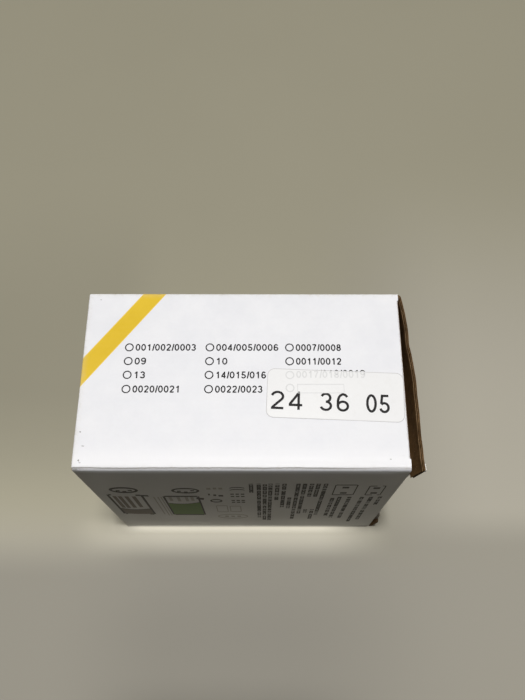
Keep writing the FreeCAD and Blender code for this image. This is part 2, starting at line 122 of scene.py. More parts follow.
class Shape:
    """Closed shells in millimetres, with a material number for each face.
    blank holds, for each point, its place on the unfolded blank and its wear; a wear of 2 stands for painted
    shade."""

    def __init__(self):
        self.points, self.faces, self.slots, self.blank = [], [], [], []

    def slab(self, outer, inner, slots=(0, 1, 2), blank=None):
        """A sheet between two grids of points: slots name its outer, inner and edge faces."""
        rows, columns = outer.shape[:2]
        start, count = len(self.points), rows * columns
        if blank is None:
            blank = np.zeros_like(outer)
        for grid in (outer, inner):
            self.points.extend(map(tuple, grid.reshape(-1, 3)))
            self.blank.extend(map(tuple, blank.reshape(-1, 3)))

        def at(row, column, side=0):
            return start + side * count + row * columns + column

        for row in range(rows - 1):
            for column in range(columns - 1):
                for side in (0, 1):
                    self.faces.append((
                        at(row, column, side), at(row + 1, column, side),
                        at(row + 1, column + 1, side), at(row, column + 1, side),
                    ))
                    self.slots.append(slots[side])
        rim = [(0, column) for column in range(columns)]
        rim += [(row, columns - 1) for row in range(1, rows)]
        rim += [(rows - 1, column) for column in range(columns - 2, -1, -1)]
        rim += [(row, 0) for row in range(rows - 2, 0, -1)]
        for here, there in zip(rim, rim[1:] + rim[:1]):
            self.faces.append((at(*here), at(*there), at(*there, 1), at(*here, 1)))
            self.slots.append(slots[2])

    def prism(self, outline, place, slot=0, thick=FILM):
        """A flat shape of 2-D corners, laid by place(points, height) and thick high."""
        outline = np.array(outline, float)
        start, count = len(self.points), len(outline)
        for height in (0.0, thick):
            self.points.extend(map(tuple, place(outline, height)))
            self.blank.extend([(0.0, 0.0, 0.0)] * count)
        lower = [start + index for index in range(count)]
        upper = [index + count for index in lower]
        self.faces += [tuple(lower), tuple(upper)]
        for here, there in zip(range(count), [*range(1, count), 0]):
            self.faces.append((lower[here], lower[there], upper[there], upper[here]))
        self.slots.extend([slot] * (count + 2))

    def make(self, name, materials, body, replaces=(), slot="carton_board", sharp=32, bend=None):
        """Turn the shells into a piece that rides on a body; a piece given a bend is left where it is made,
        on no body.
        """
        mesh = bpy.data.meshes.new(name)
        mesh.from_pydata([Vector(point) * MM for point in self.points], [], self.faces)
        for material in materials:
            mesh.materials.append(material)
        mesh.polygons.foreach_set("material_index", self.slots)
        values = mesh.attributes.new("blank", "FLOAT_VECTOR", "POINT")
        values.data.foreach_set("vector", np.array(self.blank, float).ravel())
        work = bmesh.new()
        work.from_mesh(mesh)
        bmesh.ops.recalc_face_normals(work, faces=work.faces)
        work.to_mesh(mesh)
        work.free()
        mesh.shade_smooth()
        mesh.set_sharp_from_angle(angle=math.radians(sharp))
        piece = put(name, mesh)
        if bend:
            other, start, end = bend
            Vector(start) * MM
            Vector(end) * MM
            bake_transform(piece)
        else:
            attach(piece, body)
        if replaces:
            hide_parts(*replaces)


# ---- surfaces ----


class Panel:
    """A flat face of the carton: local u and v along it, and depth into the board."""

    def __init__(self, origin, u_axis, v_axis, normal):
        self.origin = np.array(origin, float)
        self.axes = np.array([u_axis, v_axis, normal], float)

    def place(self, u, v, depth):
        return self.origin + points(u, v, -np.asarray(depth, float)) @ self.axes


X_AXIS, Y_AXIS, Z_AXIS = (1, 0, 0), (0, 1, 0), (0, 0, 1)
TOP_PANEL = Panel((0, 0, TOP), X_AXIS, Y_AXIS, Z_AXIS)
BASE_PANEL = Panel((0, 0, 0), X_AXIS, Y_AXIS, (0, 0, -1))
FRONT_PANEL = Panel((0, FRONT, 0), X_AXIS, Z_AXIS, (0, -1, 0))
BACK_PANEL = Panel((0, BACK, 0), X_AXIS, Z_AXIS, Y_AXIS)
LEFT_PANEL = Panel((LEFT, 0, 0), Z_AXIS, Y_AXIS, (-1, 0, 0))  # u is Z there


def smooth(low, high, value):
    share = np.clip((value - low) / (high - low), 0, 1)
    return share * share * (3 - 2 * share)


def bell(distance, reach):
    return np.exp(-((distance / reach) ** 2))


def waviness(u, v, seed, size=34.0):
    """Slow unevenness of a panel, between about -1 and 1."""
    return np.vectorize(lambda x, y: noise.noise(Vector((x / size, y / size, seed))))(u, v)


def half_rolled(low, high, low_roll, high_roll, count):
    """Flat positions and roll angles from one edge to the other, 45 degrees at a roll."""
    steps = np.linspace(0, HALF_TURN, ROLL_STEPS + 1)[1:]
    flat = np.linspace(low + low_roll, high - high_roll, count)
    angle = np.zeros(count)
    if low_roll:
        flat = np.concatenate([np.full(ROLL_STEPS, low + low_roll), flat])
        angle = np.concatenate([-steps[::-1], angle])
    if high_roll:
        flat = np.concatenate([flat, np.full(ROLL_STEPS, high - high_roll)])
        angle = np.concatenate([angle, steps])
    return flat, angle


def rolled_liner(shape, panel, u_span, v_span, rolls, counts, dip, to_blank, trim=None):
    """The outer sheet of a panel, its creased edges rolled over as far as the mitre."""
    flat_u, turn_u = half_rolled(*u_span, *rolls[:2], counts[0])
    flat_v, turn_v = half_rolled(*v_span, *rolls[2:], counts[1])
    flat_u, flat_v = np.meshgrid(flat_u, flat_v, indexing="ij")
    turn_u, turn_v = np.meshgrid(turn_u, turn_v, indexing="ij")
    if trim:
        flat_u, flat_v = trim(flat_u, flat_v)
    radius_u = np.where(turn_u < 0, rolls[0], rolls[1])
    radius_v = np.where(turn_v < 0, rolls[2], rolls[3])
    normal = points(np.sin(turn_u) * np.cos(turn_v), np.sin(turn_v) * np.cos(turn_u),
                    np.cos(turn_u) * np.cos(turn_v))
    normal /= np.linalg.norm(normal, axis=-1, keepdims=True)
    lean_u, lean_v, level = normal[..., 0], normal[..., 1], normal[..., 2]
    radius = (radius_u * lean_u ** 2 + radius_v * lean_v ** 2) / (lean_u ** 2 + lean_v ** 2 + 1e-12)
    u, v = flat_u + radius_u * lean_u, flat_v + radius_v * lean_v
    drop = radius * (1 - level) + dip(u, v)
    outer, inner = (panel.place(u - depth * lean_u, v - depth * lean_v, drop + depth * level)
                    for depth in (0.0, LINER))
    wear_and_shade = np.zeros_like(u)
    for distance, roll in zip((u - u_span[0], u_span[1] - u, v - v_span[0], v_span[1] - v), rolls):
        if roll:
            wear_and_shade = np.maximum(wear_and_shade, bell(np.maximum(distance, 0), WEAR))
    shape.slab(outer, inner, blank=points(*to_blank(u, v), wear_and_shade))


def fluted(shape, place, u_values, flutes, slots=(0, 1, 2), liner=True, cells=24, blank=None,
           rows=None):
    """Board over a surface place(u, share, depth): share runs from 0 to 1 across the flutes.
    The outer sheet is left out where a rolled liner already stands for it."""
    inside = (slots[1], slots[1], slots[2])
    across = np.linspace(0, 1, cells + 1) if rows is None else rows
    u, share = np.meshgrid(u_values, across, indexing="ij")
    if liner:
        marks = blank(u, share) if blank else None
        shape.slab(place(u, share, 0.0), place(u, share, LINER), slots, marks)
    shape.slab(place(u, share, BOARD - LINER), place(u, share, BOARD), inside)
    u, share = np.meshgrid(u_values, np.linspace(0, 1, flutes * 10 + 1), indexing="ij")
    swing = BOARD / 2 - LINER - WALL - 0.01  # a hair short of the liners
    middle = BOARD / 2 + swing * np.sin(2 * math.pi * flutes * share)
    shape.slab(place(u, share, middle - WALL), place(u, share, middle + WALL), inside)


# ---- materials ----


EASE = "SMOOTHSTEP"


class Nodes:
    """A node tree, with short ways to add nodes and join them."""

    def __init__(self, tree):
        self.tree = tree

    def add(self, kind, **settings):
        node = self.tree.nodes.new(kind)
        for name, value in settings.items():
            setattr(node, name, value)
        return node

    def feed(self, node, **values):
        """Give named inputs a number or a colour, or join them to other nodes' outputs."""
        for name, value in values.items():
            self.assign(node.inputs[name.replace("_", " ")], value)
        return node

    def assign(self, target, value):
        if isinstance(value, (int, float, tuple)):
            target.default_value = value
        else:
            self.tree.links.new(value, target)

    def result(self, kind, *values, output=0, **settings):
        """Add a node, feed its first inputs in order, and give back an output."""
        node = self.add(kind, **settings)
        for target, value in zip(node.inputs, values):
            self.assign(target, value)
        return node.outputs[output]

    def maths(self, operation, first, second=0.0, clamp=False):
        return self.result("ShaderNodeMath", first, second, operation=operation, use_clamp=clamp)

    def times(self, *factors, clamp=False):
        total = factors[0]
        for factor in factors[1:]:
            total = self.maths("MULTIPLY", total, factor, clamp)
        return total

    def plus(self, first, second):
        return self.maths("ADD", first, second)

    def minus(self, first, second):
        return self.maths("SUBTRACT", first, second)

    def between(self, value, low, high, low_out, high_out, kind="LINEAR"):
        return self.result("ShaderNodeMapRange", value, low, high, low_out, high_out,
                           interpolation_type=kind)

    def rise(self, value, low, high, most=1.0, kind="LINEAR"):
        return self.between(value, low, high, 0.0, most, kind)

    def fall(self, value, low, high, most=1.0, kind="LINEAR"):
        return self.between(value, low, high, most, 0.0, kind)

    def mix(self, share, first, second):
        node = self.add("ShaderNodeMix", data_type="RGBA")
        for index, value in ((0, share), (6, first), (7, second)):
            self.assign(node.inputs[index], value)
        return node.outputs[2]

    def parts(self, vector):
        node = self.add("ShaderNodeSeparateXYZ")
        self.assign(node.inputs[0], vector)
        return node.outputs


class Material(Nodes):
    """A new material with a principled shader."""

    def __init__(self, name, **values):
        self.material = bpy.data.materials.new(name)
        self.material.use_nodes = True
        super().__init__(self.material.node_tree)
        self.shader = self.feed(self.tree.nodes["Principled BSDF"], **values)
        self.where = self.add("ShaderNodeTexCoord").outputs["Object"]

    def noise(self, scale, detail, rough, stretch=None):
        where = self.where
        if stretch:
            where = self.feed(self.add("ShaderNodeMapping"), Vector=where, Scale=stretch).outputs[0]
        node = self.add("ShaderNodeTexNoise")
        return self.feed(node, Vector=where, Scale=scale, Detail=detail, Roughness=rough).outputs[0]

    def colour(self, value):
        self.feed(self.shader, Base_Color=value)

    def rough(self, value):
        self.feed(self.shader, Roughness=value)

    def bump(self, height, strength, distance, below=None):
        node = self.feed(self.add("ShaderNodeBump"), Height=height, Strength=strength,
                         Distance=distance)
        if below:
            self.feed(node, Normal=below)
        self.feed(self.shader, Normal=node.outputs[0])
        return node.outputs[0]

    def show(self, share, first, second):
        """Show a mix of two shaders in place of the principled one alone."""
        surface = self.result("ShaderNodeMixShader", share, first, second)
        self.feed(self.tree.nodes["Material Output"], Surface=surface)


def rgb(red, green, blue):
    return (red, green, blue, 1.0)


STRIPE_SLOPE = 1.2975  # rise of the yellow band over its run
STRIPE_LOW, STRIPE_HIGH = 92.0, 106.55  # where its two edges cross the middle of the tube
STRIPE_LINE = 0.5
STRIPE_SOFT = 0.12  # half the width over which an edge of the band fades


def white_board():
    """Coated white face of the board, with the printed band and rubbed creases, and with painted highlight
    and shade.
    """
    m = Material("white_board", Roughness=0.5, Specular_IOR_Level=0.35)
    u, v, wear_and_shade = m.parts(m.add("ShaderNodeAttribute", attribute_name="blank").outputs["Vector"])
    mottle = m.noise(55.0, 5.0, 0.65)
    fine = m.noise(900.0, 3.0, 0.7)
    rub = m.noise(420.0, 6.0, 0.75)
    base = m.mix(m.rise(mottle, 0.35, 0.65), rgb(0.785, 0.80, 0.86), rgb(0.838, 0.85, 0.902))
    base = m.mix(m.rise(fine, 0.2, 0.8, 0.12), base, rgb(0.70, 0.69, 0.68))

    # the yellow band, with a paler line along both edges
    across = m.minus(v, m.times(u, STRIPE_SLOPE))
    across = m.plus(across, m.times(m.minus(fine, 0.5), 0.12))
    low = m.rise(across, STRIPE_LOW - STRIPE_SOFT, STRIPE_LOW + STRIPE_SOFT)
    high = m.fall(across, STRIPE_HIGH - STRIPE_SOFT, STRIPE_HIGH + STRIPE_SOFT)
    line_low, line_high = STRIPE_LOW + STRIPE_LINE, STRIPE_HIGH - STRIPE_LINE
    inner = m.times(m.rise(across, line_low, line_low + 0.25), m.fall(across, line_high - 0.25, line_high))
    ink = m.mix(m.rise(mottle, 0.3, 0.7), rgb(0.71, 0.478, 0.012), rgb(0.765, 0.525, 0.02))
    ink = m.mix(inner, rgb(0.82, 0.60, 0.10), ink)
    base = m.mix(m.times(low, high), base, ink)

    # a painted highlight on a strip behind the front edge, and painted shade in the pressed line along it
    edge_highlight = m.times(m.fall(v, FRONT + 3, FRONT + 14, 0.75, EASE), m.rise(v, FRONT - 1.0, FRONT))
    base = m.mix(edge_highlight, base, rgb(0.885, 0.89, 0.93))
    wander = m.times(m.minus(mottle, 0.5), 0.9)
    off = m.maths("ABSOLUTE", m.plus(m.minus(v, FRONT + CREASE_BACK), wander))
    line = m.times(m.fall(off, 0.05, 0.42, 1.0, EASE),
                   m.between(u, RIGHT - MIDDLE_X - 38, RIGHT - MIDDLE_X - 4, 0.9, 0.35))
    base = m.mix(line, base, rgb(0.20, 0.195, 0.19))

    # the front is painted dimmer as shade, and painted darkest along its lower edge as the shadow at its
    # foot
    front = m.fall(v, FRONT - 6.0, FRONT - 1.6, 0.70)
    base = m.mix(front, base, rgb(0.36, 0.345, 0.32))
    # painted shadow along the crease at the foot of the front
    foot_shade = m.times(m.fall(v, FRONT - TOP + 0.5, FRONT - TOP + 1.6, 0.85),
                   m.rise(v, FRONT - TOP - 3.0, FRONT - TOP - 1.0))
    base = m.mix(foot_shade, base, rgb(0.05, 0.046, 0.04))

    # the front left corner is knocked and rubbed, and painted dark as the shade under the end of its crease
    off = m.maths("ABSOLUTE", m.minus(v, FRONT - 0.6))
    corner_rub_and_shade = m.times(m.fall(off, 0.7, 2.4), m.rise(rub, 0.36, 0.56))
    reach = m.fall(u, LEFT - MIDDLE_X + 1.5, LEFT - MIDDLE_X + 6.5, 0.8)
    base = m.mix(m.times(reach, corner_rub_and_shade), base, rgb(0.15, 0.14, 0.125))

    # creased edges are rubbed; past 1.5, at the ends of the tuck's fold and low on the closure's free edge,
    # the board is painted near black as shade in the gap into the box
    torn = m.times(wear_and_shade, m.rise(rub, 0.50, 0.66), clamp=True)
    base = m.mix(m.times(wear_and_shade, 0.16, clamp=True), base, rgb(0.68, 0.65, 0.59))
    base = m.mix(m.times(torn, 0.32), base, rgb(0.50, 0.44, 0.35))
    raw = m.mix(m.rise(rub, 0.35, 0.65), rgb(0.03, 0.018, 0.009), rgb(0.085, 0.052, 0.027))
    base = m.mix(m.rise(wear_and_shade, 1.35, 1.65), base, raw)
    dirt = m.noise(24.0, 8.0, 0.7)
    m.colour(m.mix(m.rise(dirt, 0.62, 0.80, 0.10), base, rgb(0.45, 0.43, 0.40)))
    m.rough(m.between(mottle, 0.3, 0.7, 0.42, 0.58))
    waves = m.maths("SINE", m.times(v, 2 * math.pi / FLUTE))
    washboard = m.bump(waves, 0.10, 0.00005)
    m.bump(m.plus(fine, m.times(torn, 0.8)), 0.12, 0.00008, washboard)
    return m.material


def kraft(name, light, dark, streak, bump=0.35):
    """Brown unbleached paper: blotches, long fibres and specks."""
    m = Material(name, Roughness=0.85, Specular_IOR_Level=0.2)
    blotch = m.noise(90.0, 5.0, 0.6)
    fibre = m.noise(260.0, 6.0, 0.7, streak)
    speck = m.noise(1500.0, 2.0, 0.5)
    darker = rgb(*(part * 0.45 for part in dark[:3]))
    base = m.mix(m.rise(blotch, 0.3, 0.7), dark, light)
    base = m.mix(m.rise(fibre, 0.48, 0.66, 0.55), base, darker)
    m.colour(m.mix(m.rise(speck, 0.62, 0.72, 0.5), base, rgb(0.42, 0.31, 0.19)))
    m.rough(m.between(fibre, 0.3, 0.7, 0.78, 0.95))
    m.bump(fibre, bump, 0.00015)
    return m.material


def printed(name, colour, fade, rough=0.55):
    """A layer of ink that is thinner in small patches."""
    m = Material(name, Roughness=rough, Specular_IOR_Level=0.12)
    patch = m.noise(700.0, 4.0, 0.7)
    m.colour(m.mix(m.rise(patch, 0.35, 0.75, fade), colour, rgb(0.6, 0.6, 0.6)))
    m.rough(m.between(patch, 0.3, 0.7, rough - 0.08, rough + 0.1))
    m.bump(patch, 0.1, 0.00003)
    return m.material


def paper(name, light, dark, rough, coat=0.0):
    """Smooth white paper, clouded, with a fine tooth."""
    m = Material(name, Roughness=rough, Specular_IOR_Level=0.4, Coat_Weight=coat, Coat_Roughness=0.2)
    grain = m.noise(300.0, 5.0, 0.65)
    base = m.mix(m.rise(m.noise(40.0, 3.0, 0.5), 0.35, 0.65), light, dark)
    m.colour(m.mix(m.rise(grain, 0.5, 0.8, 0.15), base, rgb(0.6, 0.59, 0.57)))
    m.rough(m.between(grain, 0.3, 0.7, rough - 0.06, rough + 0.08))
    m.bump(grain, 0.12, 0.00006)
    return m.material


def metal(name, light, dark, rough, stretch=(1, 1, 1)):
    """Bare or anodised metal with machining marks along its turning or rolling direction."""
    m = Material(name, Metallic=1.0, Roughness=rough)
    marks = m.noise(400.0, 5.0, 0.65, stretch)
    base = m.mix(m.rise(m.noise(120.0, 4.0, 0.6), 0.3, 0.7), light, dark)
    m.colour(m.mix(m.rise(marks, 0.3, 0.75, 0.35), base, dark))
    m.rough(m.between(marks, 0.25, 0.75, max(rough - 0.1, 0.05), rough + 0.14))
    m.bump(marks, 0.06, 0.0001)
    return m.material


def plastic(name, light, dark, rough, scale=900.0):
    """Moulded plastic or rubber with a fine spark-eroded grain."""
    m = Material(name, Roughness=rough, Specular_IOR_Level=0.5)
    cloud = m.noise(60.0, 4.0, 0.6)
    m.colour(m.mix(m.rise(cloud, 0.3, 0.7), dark, light))
    m.rough(m.between(cloud, 0.3, 0.7, rough - 0.07, rough + 0.09))
    m.bump(m.noise(scale, 3.0, 0.6), 0.2, 0.00006)
    return m.material


def circuit_board():
    """Green solder resist with darker copper runs beneath it."""
    m = Material("circuit_board", Roughness=0.35, Coat_Weight=0.3, Coat_Roughness=0.15)
    finer = m.feed(m.add("ShaderNodeMapping"), Vector=m.where, Scale=(420.0, 420.0, 420.0))
    runs = m.feed(m.add("ShaderNodeTexBrick", offset=0.5, squash=1.0), Vector=finer.outputs[0],
                  Scale=1.0, Mortar_Size=0.06, Color1=rgb(0.012, 0.10, 0.035),
                  Color2=rgb(0.018, 0.13, 0.045), Mortar=rgb(0.04, 0.22, 0.08))
    cloud = m.noise(300.0, 4.0, 0.6)
    m.colour(m.mix(m.rise(cloud, 0.3, 0.7, 0.35), runs.outputs[0], rgb(0.01, 0.07, 0.03)))
    m.rough(m.between(cloud, 0.3, 0.7, 0.28, 0.45))
    m.bump(runs.outputs["Fac"], 0.2, 0.00005)
    return m.material


WHITE = white_board()
KRAFT = kraft("kraft_inside", rgb(0.24, 0.138, 0.056), rgb(0.155, 0.084, 0.031), (0.25, 1.0, 1.0))
# the board's cut edge, darker than PALE_EDGE: partly the dark kraft of a raw edge, partly painted shade
SHADED_EDGE = kraft("kraft_edge_with_shade", rgb(0.23, 0.145, 0.075), rgb(0.055, 0.032, 0.015), (0.5, 0.5, 2.5), 0.8)
PALE_EDGE = kraft("kraft_cut_edge", rgb(0.40, 0.27, 0.155), rgb(0.25, 0.16, 0.085), (0.5, 0.5, 2.5), 0.8)
CRADLE = kraft("kraft_cradle", rgb(0.36, 0.24, 0.135), rgb(0.26, 0.165, 0.088), (0.25, 1.0, 1.0))
INK = printed("print_ink", rgb(0.012, 0.0115, 0.0125), 0.05)
FRONT_INK = printed("side_print_ink", rgb(0.026, 0.021, 0.018), 0.12)
BROWN_INK = printed("brown_side_ink", rgb(0.15, 0.12, 0.095), 0.2)
FAINT_INK = printed("faint_side_ink", rgb(0.30, 0.28, 0.245), 0.2)
GREEN_INK = printed("green_side_ink", rgb(0.115, 0.205, 0.035), 0.12)
SCUFF = printed("rubbed_mark", rgb(0.30, 0.285, 0.30), 0.45, 0.8)
LABEL = paper("label_paper", rgb(0.815, 0.823, 0.85), rgb(0.84, 0.848, 0.872), 0.38, coat=0.1)
# grey on the label's rim and narrow outer band: painted shadow along its thin edge
LABEL_EDGE_SHADE = paper("label_edge_shade", rgb(0.62, 0.62, 0.64), rgb(0.55, 0.55, 0.57), 0.5)
GHOST = printed("ink_under_label", rgb(0.72, 0.73, 0.75), 0.1)
LEAFLET = paper("leaflet_paper", rgb(0.78, 0.775, 0.75), rgb(0.72, 0.715, 0.69), 0.7)
BOARDS = [WHITE, KRAFT, SHADED_EDGE]
PALE_BOARDS = [WHITE, KRAFT, PALE_EDGE]
PLAIN_BOARDS = [CRADLE, CRADLE, PALE_EDGE]

CAD_MATERIALS = {
    "lamp_core": metal("core_copper", rgb(0.75, 0.36, 0.20), rgb(0.55, 0.25, 0.13), 0.3, (1, 8, 8)),
    "led_strips": plastic("strip_board", rgb(0.75, 0.75, 0.72), rgb(0.62, 0.62, 0.6), 0.35),
    "led_chips": plastic("led_phosphor", rgb(0.86, 0.62, 0.08), rgb(0.74, 0.50, 0.05), 0.4, 1800.0),
    "tip_cap": metal("cap_metal", rgb(0.52, 0.52, 0.54), rgb(0.36, 0.36, 0.38), 0.32, (8, 1, 1)),
    "heat_sink": metal("sink_aluminium", rgb(0.60, 0.61, 0.63), rgb(0.42, 0.43, 0.45), 0.3, (9, 1, 1)),
    "lamp_collar": metal("collar_steel", rgb(0.66, 0.66, 0.67), rgb(0.48, 0.48, 0.49), 0.25, (1, 1, 6)),
    "retaining_ring": metal("ring_steel", rgb(0.60, 0.60, 0.61), rgb(0.40, 0.40, 0.41), 0.3, (6, 1, 1)),
    "collar_seal": plastic("seal_rubber", rgb(0.035, 0.035, 0.036), rgb(0.02, 0.02, 0.021), 0.75),
    "driver_board": circuit_board(),
    "fan_housing": plastic("housing_plastic", rgb(0.03, 0.03, 0.032), rgb(0.018, 0.018, 0.02), 0.45),
    "fan_rotor": plastic("rotor_plastic", rgb(0.05, 0.05, 0.053), rgb(0.03, 0.03, 0.032), 0.4),
    "rear_cover": plastic("cover_plastic", rgb(0.034, 0.034, 0.037), rgb(0.02, 0.02, 0.022), 0.42),
    "blade_terminals": metal("terminal_metal", rgb(0.78, 0.77, 0.73), rgb(0.6, 0.59, 0.56), 0.22, (1, 6, 6)),
    "cover_screws": metal("screw_steel", rgb(0.62, 0.62, 0.63), rgb(0.42, 0.42, 0.43), 0.28),
    "cradle_deck": CRADLE,
}


def dress_cad_nodes():
    """Give the CAD nodes that no piece stands for a material made of nodes."""
    for name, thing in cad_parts.items():
        for start, material in CAD_MATERIALS.items():
            if name.startswith(start):
                if not thing.material_slots:
                    thing.data.materials.append(material)
                for place in thing.material_slots:
                    place.material = material


# ---- carton ----

TUBE_U = (LEFT, RIGHT)
TUBE_V = (FRONT, BACK)
HINGE_CUT = 1.15  # where the back's liner gives way to the closure's crease


def edge_fade(u, v, u_span, v_span):
    """0 at a panel's edges and 1 inside them, so that neighbouring panels still meet."""
    inside = np.minimum(np.minimum(u - u_span[0], u_span[1] - u),
                        np.minimum(v - v_span[0], v_span[1] - v))
    return smooth(ROLL, ROLL + 6.0, inside)


def top_dip(u, v):
    """How far the top lies in: slow waves, and the pressed line behind the front edge."""
    pressed = 0.10 * bell(v - FRONT - 4.2, 1.4)
    ends = smooth(0.0, 4.0, u - LEFT - ROLL) * smooth(0.0, 3.0, RIGHT - u)
    return pressed * ends + 0.06 * edge_fade(u, v, TUBE_U, TUBE_V) * waviness(u, v, 1.7)


def base_dip(u, v):
    return 0.12 * edge_fade(u, v, TUBE_U, TUBE_V) * (1 + waviness(u, v, 8.2))


def side_dip(u, v, roll=ROLL, bow=0.45, reach=4.0):
    """How far a side panel stands in: it bows out a little beyond its creases."""
    fade = edge_fade(u, v, TUBE_U, (0, TOP))
    from_edge = np.maximum(np.minimum(v, TOP - v) - roll, 0)
    bowed = -bow * (1 - np.exp(-from_edge / reach)) * smooth(0, 12, u - LEFT - ROLL)
    return 0.12 * fade * waviness(u, v, 4.1, 45.0) + bowed * smooth(0, 10, RIGHT - u)


def back_dip(u, v):
    return side_dip(u, v, BACK_ROLL, 0.95, 0.9)


def base_row(v):
    """Where the base lies on the unfolded blank, beyond the back."""
    return BACK + TOP + (BACK - v)


def flap_trim(u, v):
    """Let the liner stop short where a dust flap's crease takes over from it."""
    over_flap = (v > FLAP_LOW[1] - 0.01) & (v < FLAP_HIGH[1] + 0.01)
    start = LEFT + LEFT_ROLL
    shorter = (RIGHT - END_ROLL - start) / (RIGHT - start)
    return np.where(over_flap & (u > start), start + (u - start) * shorter, u), v


def make_top_and_base():
    for name, panel, dip, row in (("top", TOP_PANEL, top_dip, lambda v: v),
                                  ("base", BASE_PANEL, base_dip, base_row)):
        shape = Shape()
        rolled_liner(shape, panel, TUBE_U, TUBE_V, (LEFT_ROLL, 0, ROLL, BACK_ROLL), (72, 96),
                     dip, lambda u, v: (u - MIDDLE_X, row(v)), flap_trim)
        u, v = np.meshgrid([LEFT + BOARD, RIGHT - 0.15], [FRONT + BOARD, BACK - BOARD], indexing="ij")
        shape.slab(panel.place(u, v, LINER + 0.3), panel.place(u, v, BOARD), (1, 1, 2))
        shape.make(name + "_board", BOARDS, "carton", [name + "_panel"])


def make_front_and_back():
    for name, panel, right, roll, dip, row in (
        ("front", FRONT_PANEL, RIGHT, ROLL, side_dip, lambda v: FRONT - (TOP - v)),
        ("back", BACK_PANEL, RIGHT - HINGE_CUT, BACK_ROLL, back_dip, lambda v: BACK + TOP - v),
    ):
        def place(u, share, depth):
            return panel.place(u, BOARD + 0.05 + share * (TOP - 2 * BOARD - 0.1), depth)

        shape = Shape()
        rolled_liner(shape, panel, (LEFT, right), (0, TOP), (LEFT_ROLL, 0, roll, roll), (72, 80),
                     dip, lambda u, v: (u - MIDDLE_X, row(v)))
        fluted(shape, place, np.linspace(LEFT + BOARD + 0.1, right, 8), 44, liner=False, cells=8)
        shape.make(name + "_board", BOARDS, "carton", [name + "_panel"])


def standing_board(node, out, columns, flutes, cells, slots=(0, 1, 2)):
    """A flat board over its CAD node's box, facing the front or the back."""
    low, high = cad(node)
    panel = Panel((0, low[1] if out < 0 else high[1], 0), X_AXIS, Z_AXIS, (0, out, 0))

    def place(u, share, depth):
        return panel.place(u, low[2] + share * (high[2] - low[2]), depth)

    shape = Shape()
    fluted(shape, place, np.linspace(low[0], high[0], columns), flutes, slots, cells=cells)
    return shape


def make_glue_tab():
    shape = standing_board("glue_tab", 1, 10, 5, 4, (1, 1, 2))
    shape.make("glue_tab_board", BOARDS, "carton", ["glue_tab"])


def make_outer_lock_flaps():
    """The glued pair that closes the left end: rolled over from the top and from the base."""
    taper = 12.0
    for end, root, row in (("upper", TOP, lambda v: v), ("lower", 0.0, base_row)):
        node = "lock_flap_" + end
        low, high = cad(node)
        upper = end == "upper"
        tip = low[2] if upper else high[2]
        length = abs(root - tip)

        def half_width(u):
            return high[1] - taper * np.clip(np.abs(u - root) / length, 0, 1)

        def place(u, share, depth):
            return LEFT_PANEL.place(u, (2 * share - 1) * half_width(u), depth)

        shape = Shape()
        rolled_liner(
            shape, LEFT_PANEL, sorted((tip, root)), (-DEPTH / 2, DEPTH / 2),
            (0, LEFT_ROLL, 0, 0) if upper else (LEFT_ROLL, 0, 0, 0), (26, 30),
            lambda u, v: 0.07 * (1 + waviness(u, v, 9.0, 20.0)) * (np.abs(v) < 39),
            lambda u, v: (LEFT - MIDDLE_X - np.abs(root - u), row(v)),
            lambda u, v: (u, v / DEPTH * 2 * half_width(u)))
        inner = np.linspace(tip, root - BOARD if upper else root + BOARD, 12)
        fluted(shape, place, inner, 25, liner=False, cells=12)
        shape.make("lock_board_" + end, PALE_BOARDS, "carton", [node])


def make_inner_lock_flaps():
    """The hooked pair beneath: each leaves its side panel's crease and sinks one board deep."""
    low, high = cad("lock_flap_front")
    hook, sink, middle = high[1], low[0] - LEFT, TOP / 2
    overlap = 0.03

    def seam(z):
        return np.interp(z, [middle - hook, middle + hook], [hook, -hook])

    turns = np.linspace(HALF_TURN, 0, ROLL_STEPS + 1)
    shares = np.concatenate([np.linspace(0, 0.09, 12)[1:], np.linspace(0.09, 1, 16)[1:]])[:, None]
    z = np.array(sorted(set(np.linspace(low[2], high[2], 60)) | {middle - hook, middle + hook}))
    for name, crease_y, side, row in (("front", FRONT, -1, FRONT - TOP + z),
                                      ("back", BACK, 1, BACK + TOP - z)):
        flat_start = crease_y - side * LEFT_ROLL
        rolled_y = crease_y - side * LEFT_ROLL * (1 - np.sin(turns))
        rolled_x = LEFT_ROLL * (1 - np.cos(turns))
        y = np.concatenate([
            np.repeat(rolled_y[:, None], len(z), axis=1),
            flat_start + shares * (seam(z)[None, :] + side * overlap - flat_start)])
        x = LEFT + np.concatenate([
            np.repeat(rolled_x[:, None], len(z), axis=1), np.zeros((len(shares), len(z)))])
        x = x + sink * smooth(LEFT_ROLL - 0.1, LEFT_ROLL + 1.25, np.abs(y - crease_y))
        outer = points(x, y, z)
        normal = np.cross(np.gradient(outer, axis=0), np.gradient(outer, axis=1))
        normal /= np.linalg.norm(normal, axis=-1, keepdims=True)
        normal *= np.sign(-normal[..., :1] + 1e-9)  # outwards is to the left
        from_crease = np.abs(y - crease_y)
        shape = Shape()
        shape.slab(outer, outer - LINER * normal, blank=points(
            LEFT - MIDDLE_X - from_crease, row, bell(from_crease, WEAR)))

        def place(u, share, depth):
            height = low[2] + 0.05 + share * (high[2] - low[2] - 0.1)
            start = flat_start - side * 2.0
            along = start + u * (seam(height) + side * overlap - start)
            return points(low[0] + depth, along, height)

        fluted(shape, place, np.linspace(0, 1, 8), 44, liner=False, cells=60)
        shape.make("lock_board_" + name, PALE_BOARDS, "carton", ["lock_flap_" + name])


# ---- opening end ----

CREASE_Y = 42.0  # where the closure's own board starts
FREE_Y = CLOSURE_LOW[1] + 0.9  # where the closure's flat part ends and its fold starts
EAR_Y = CLOSURE_LOW[1] - 2.4  # how far it reaches above and below the fold
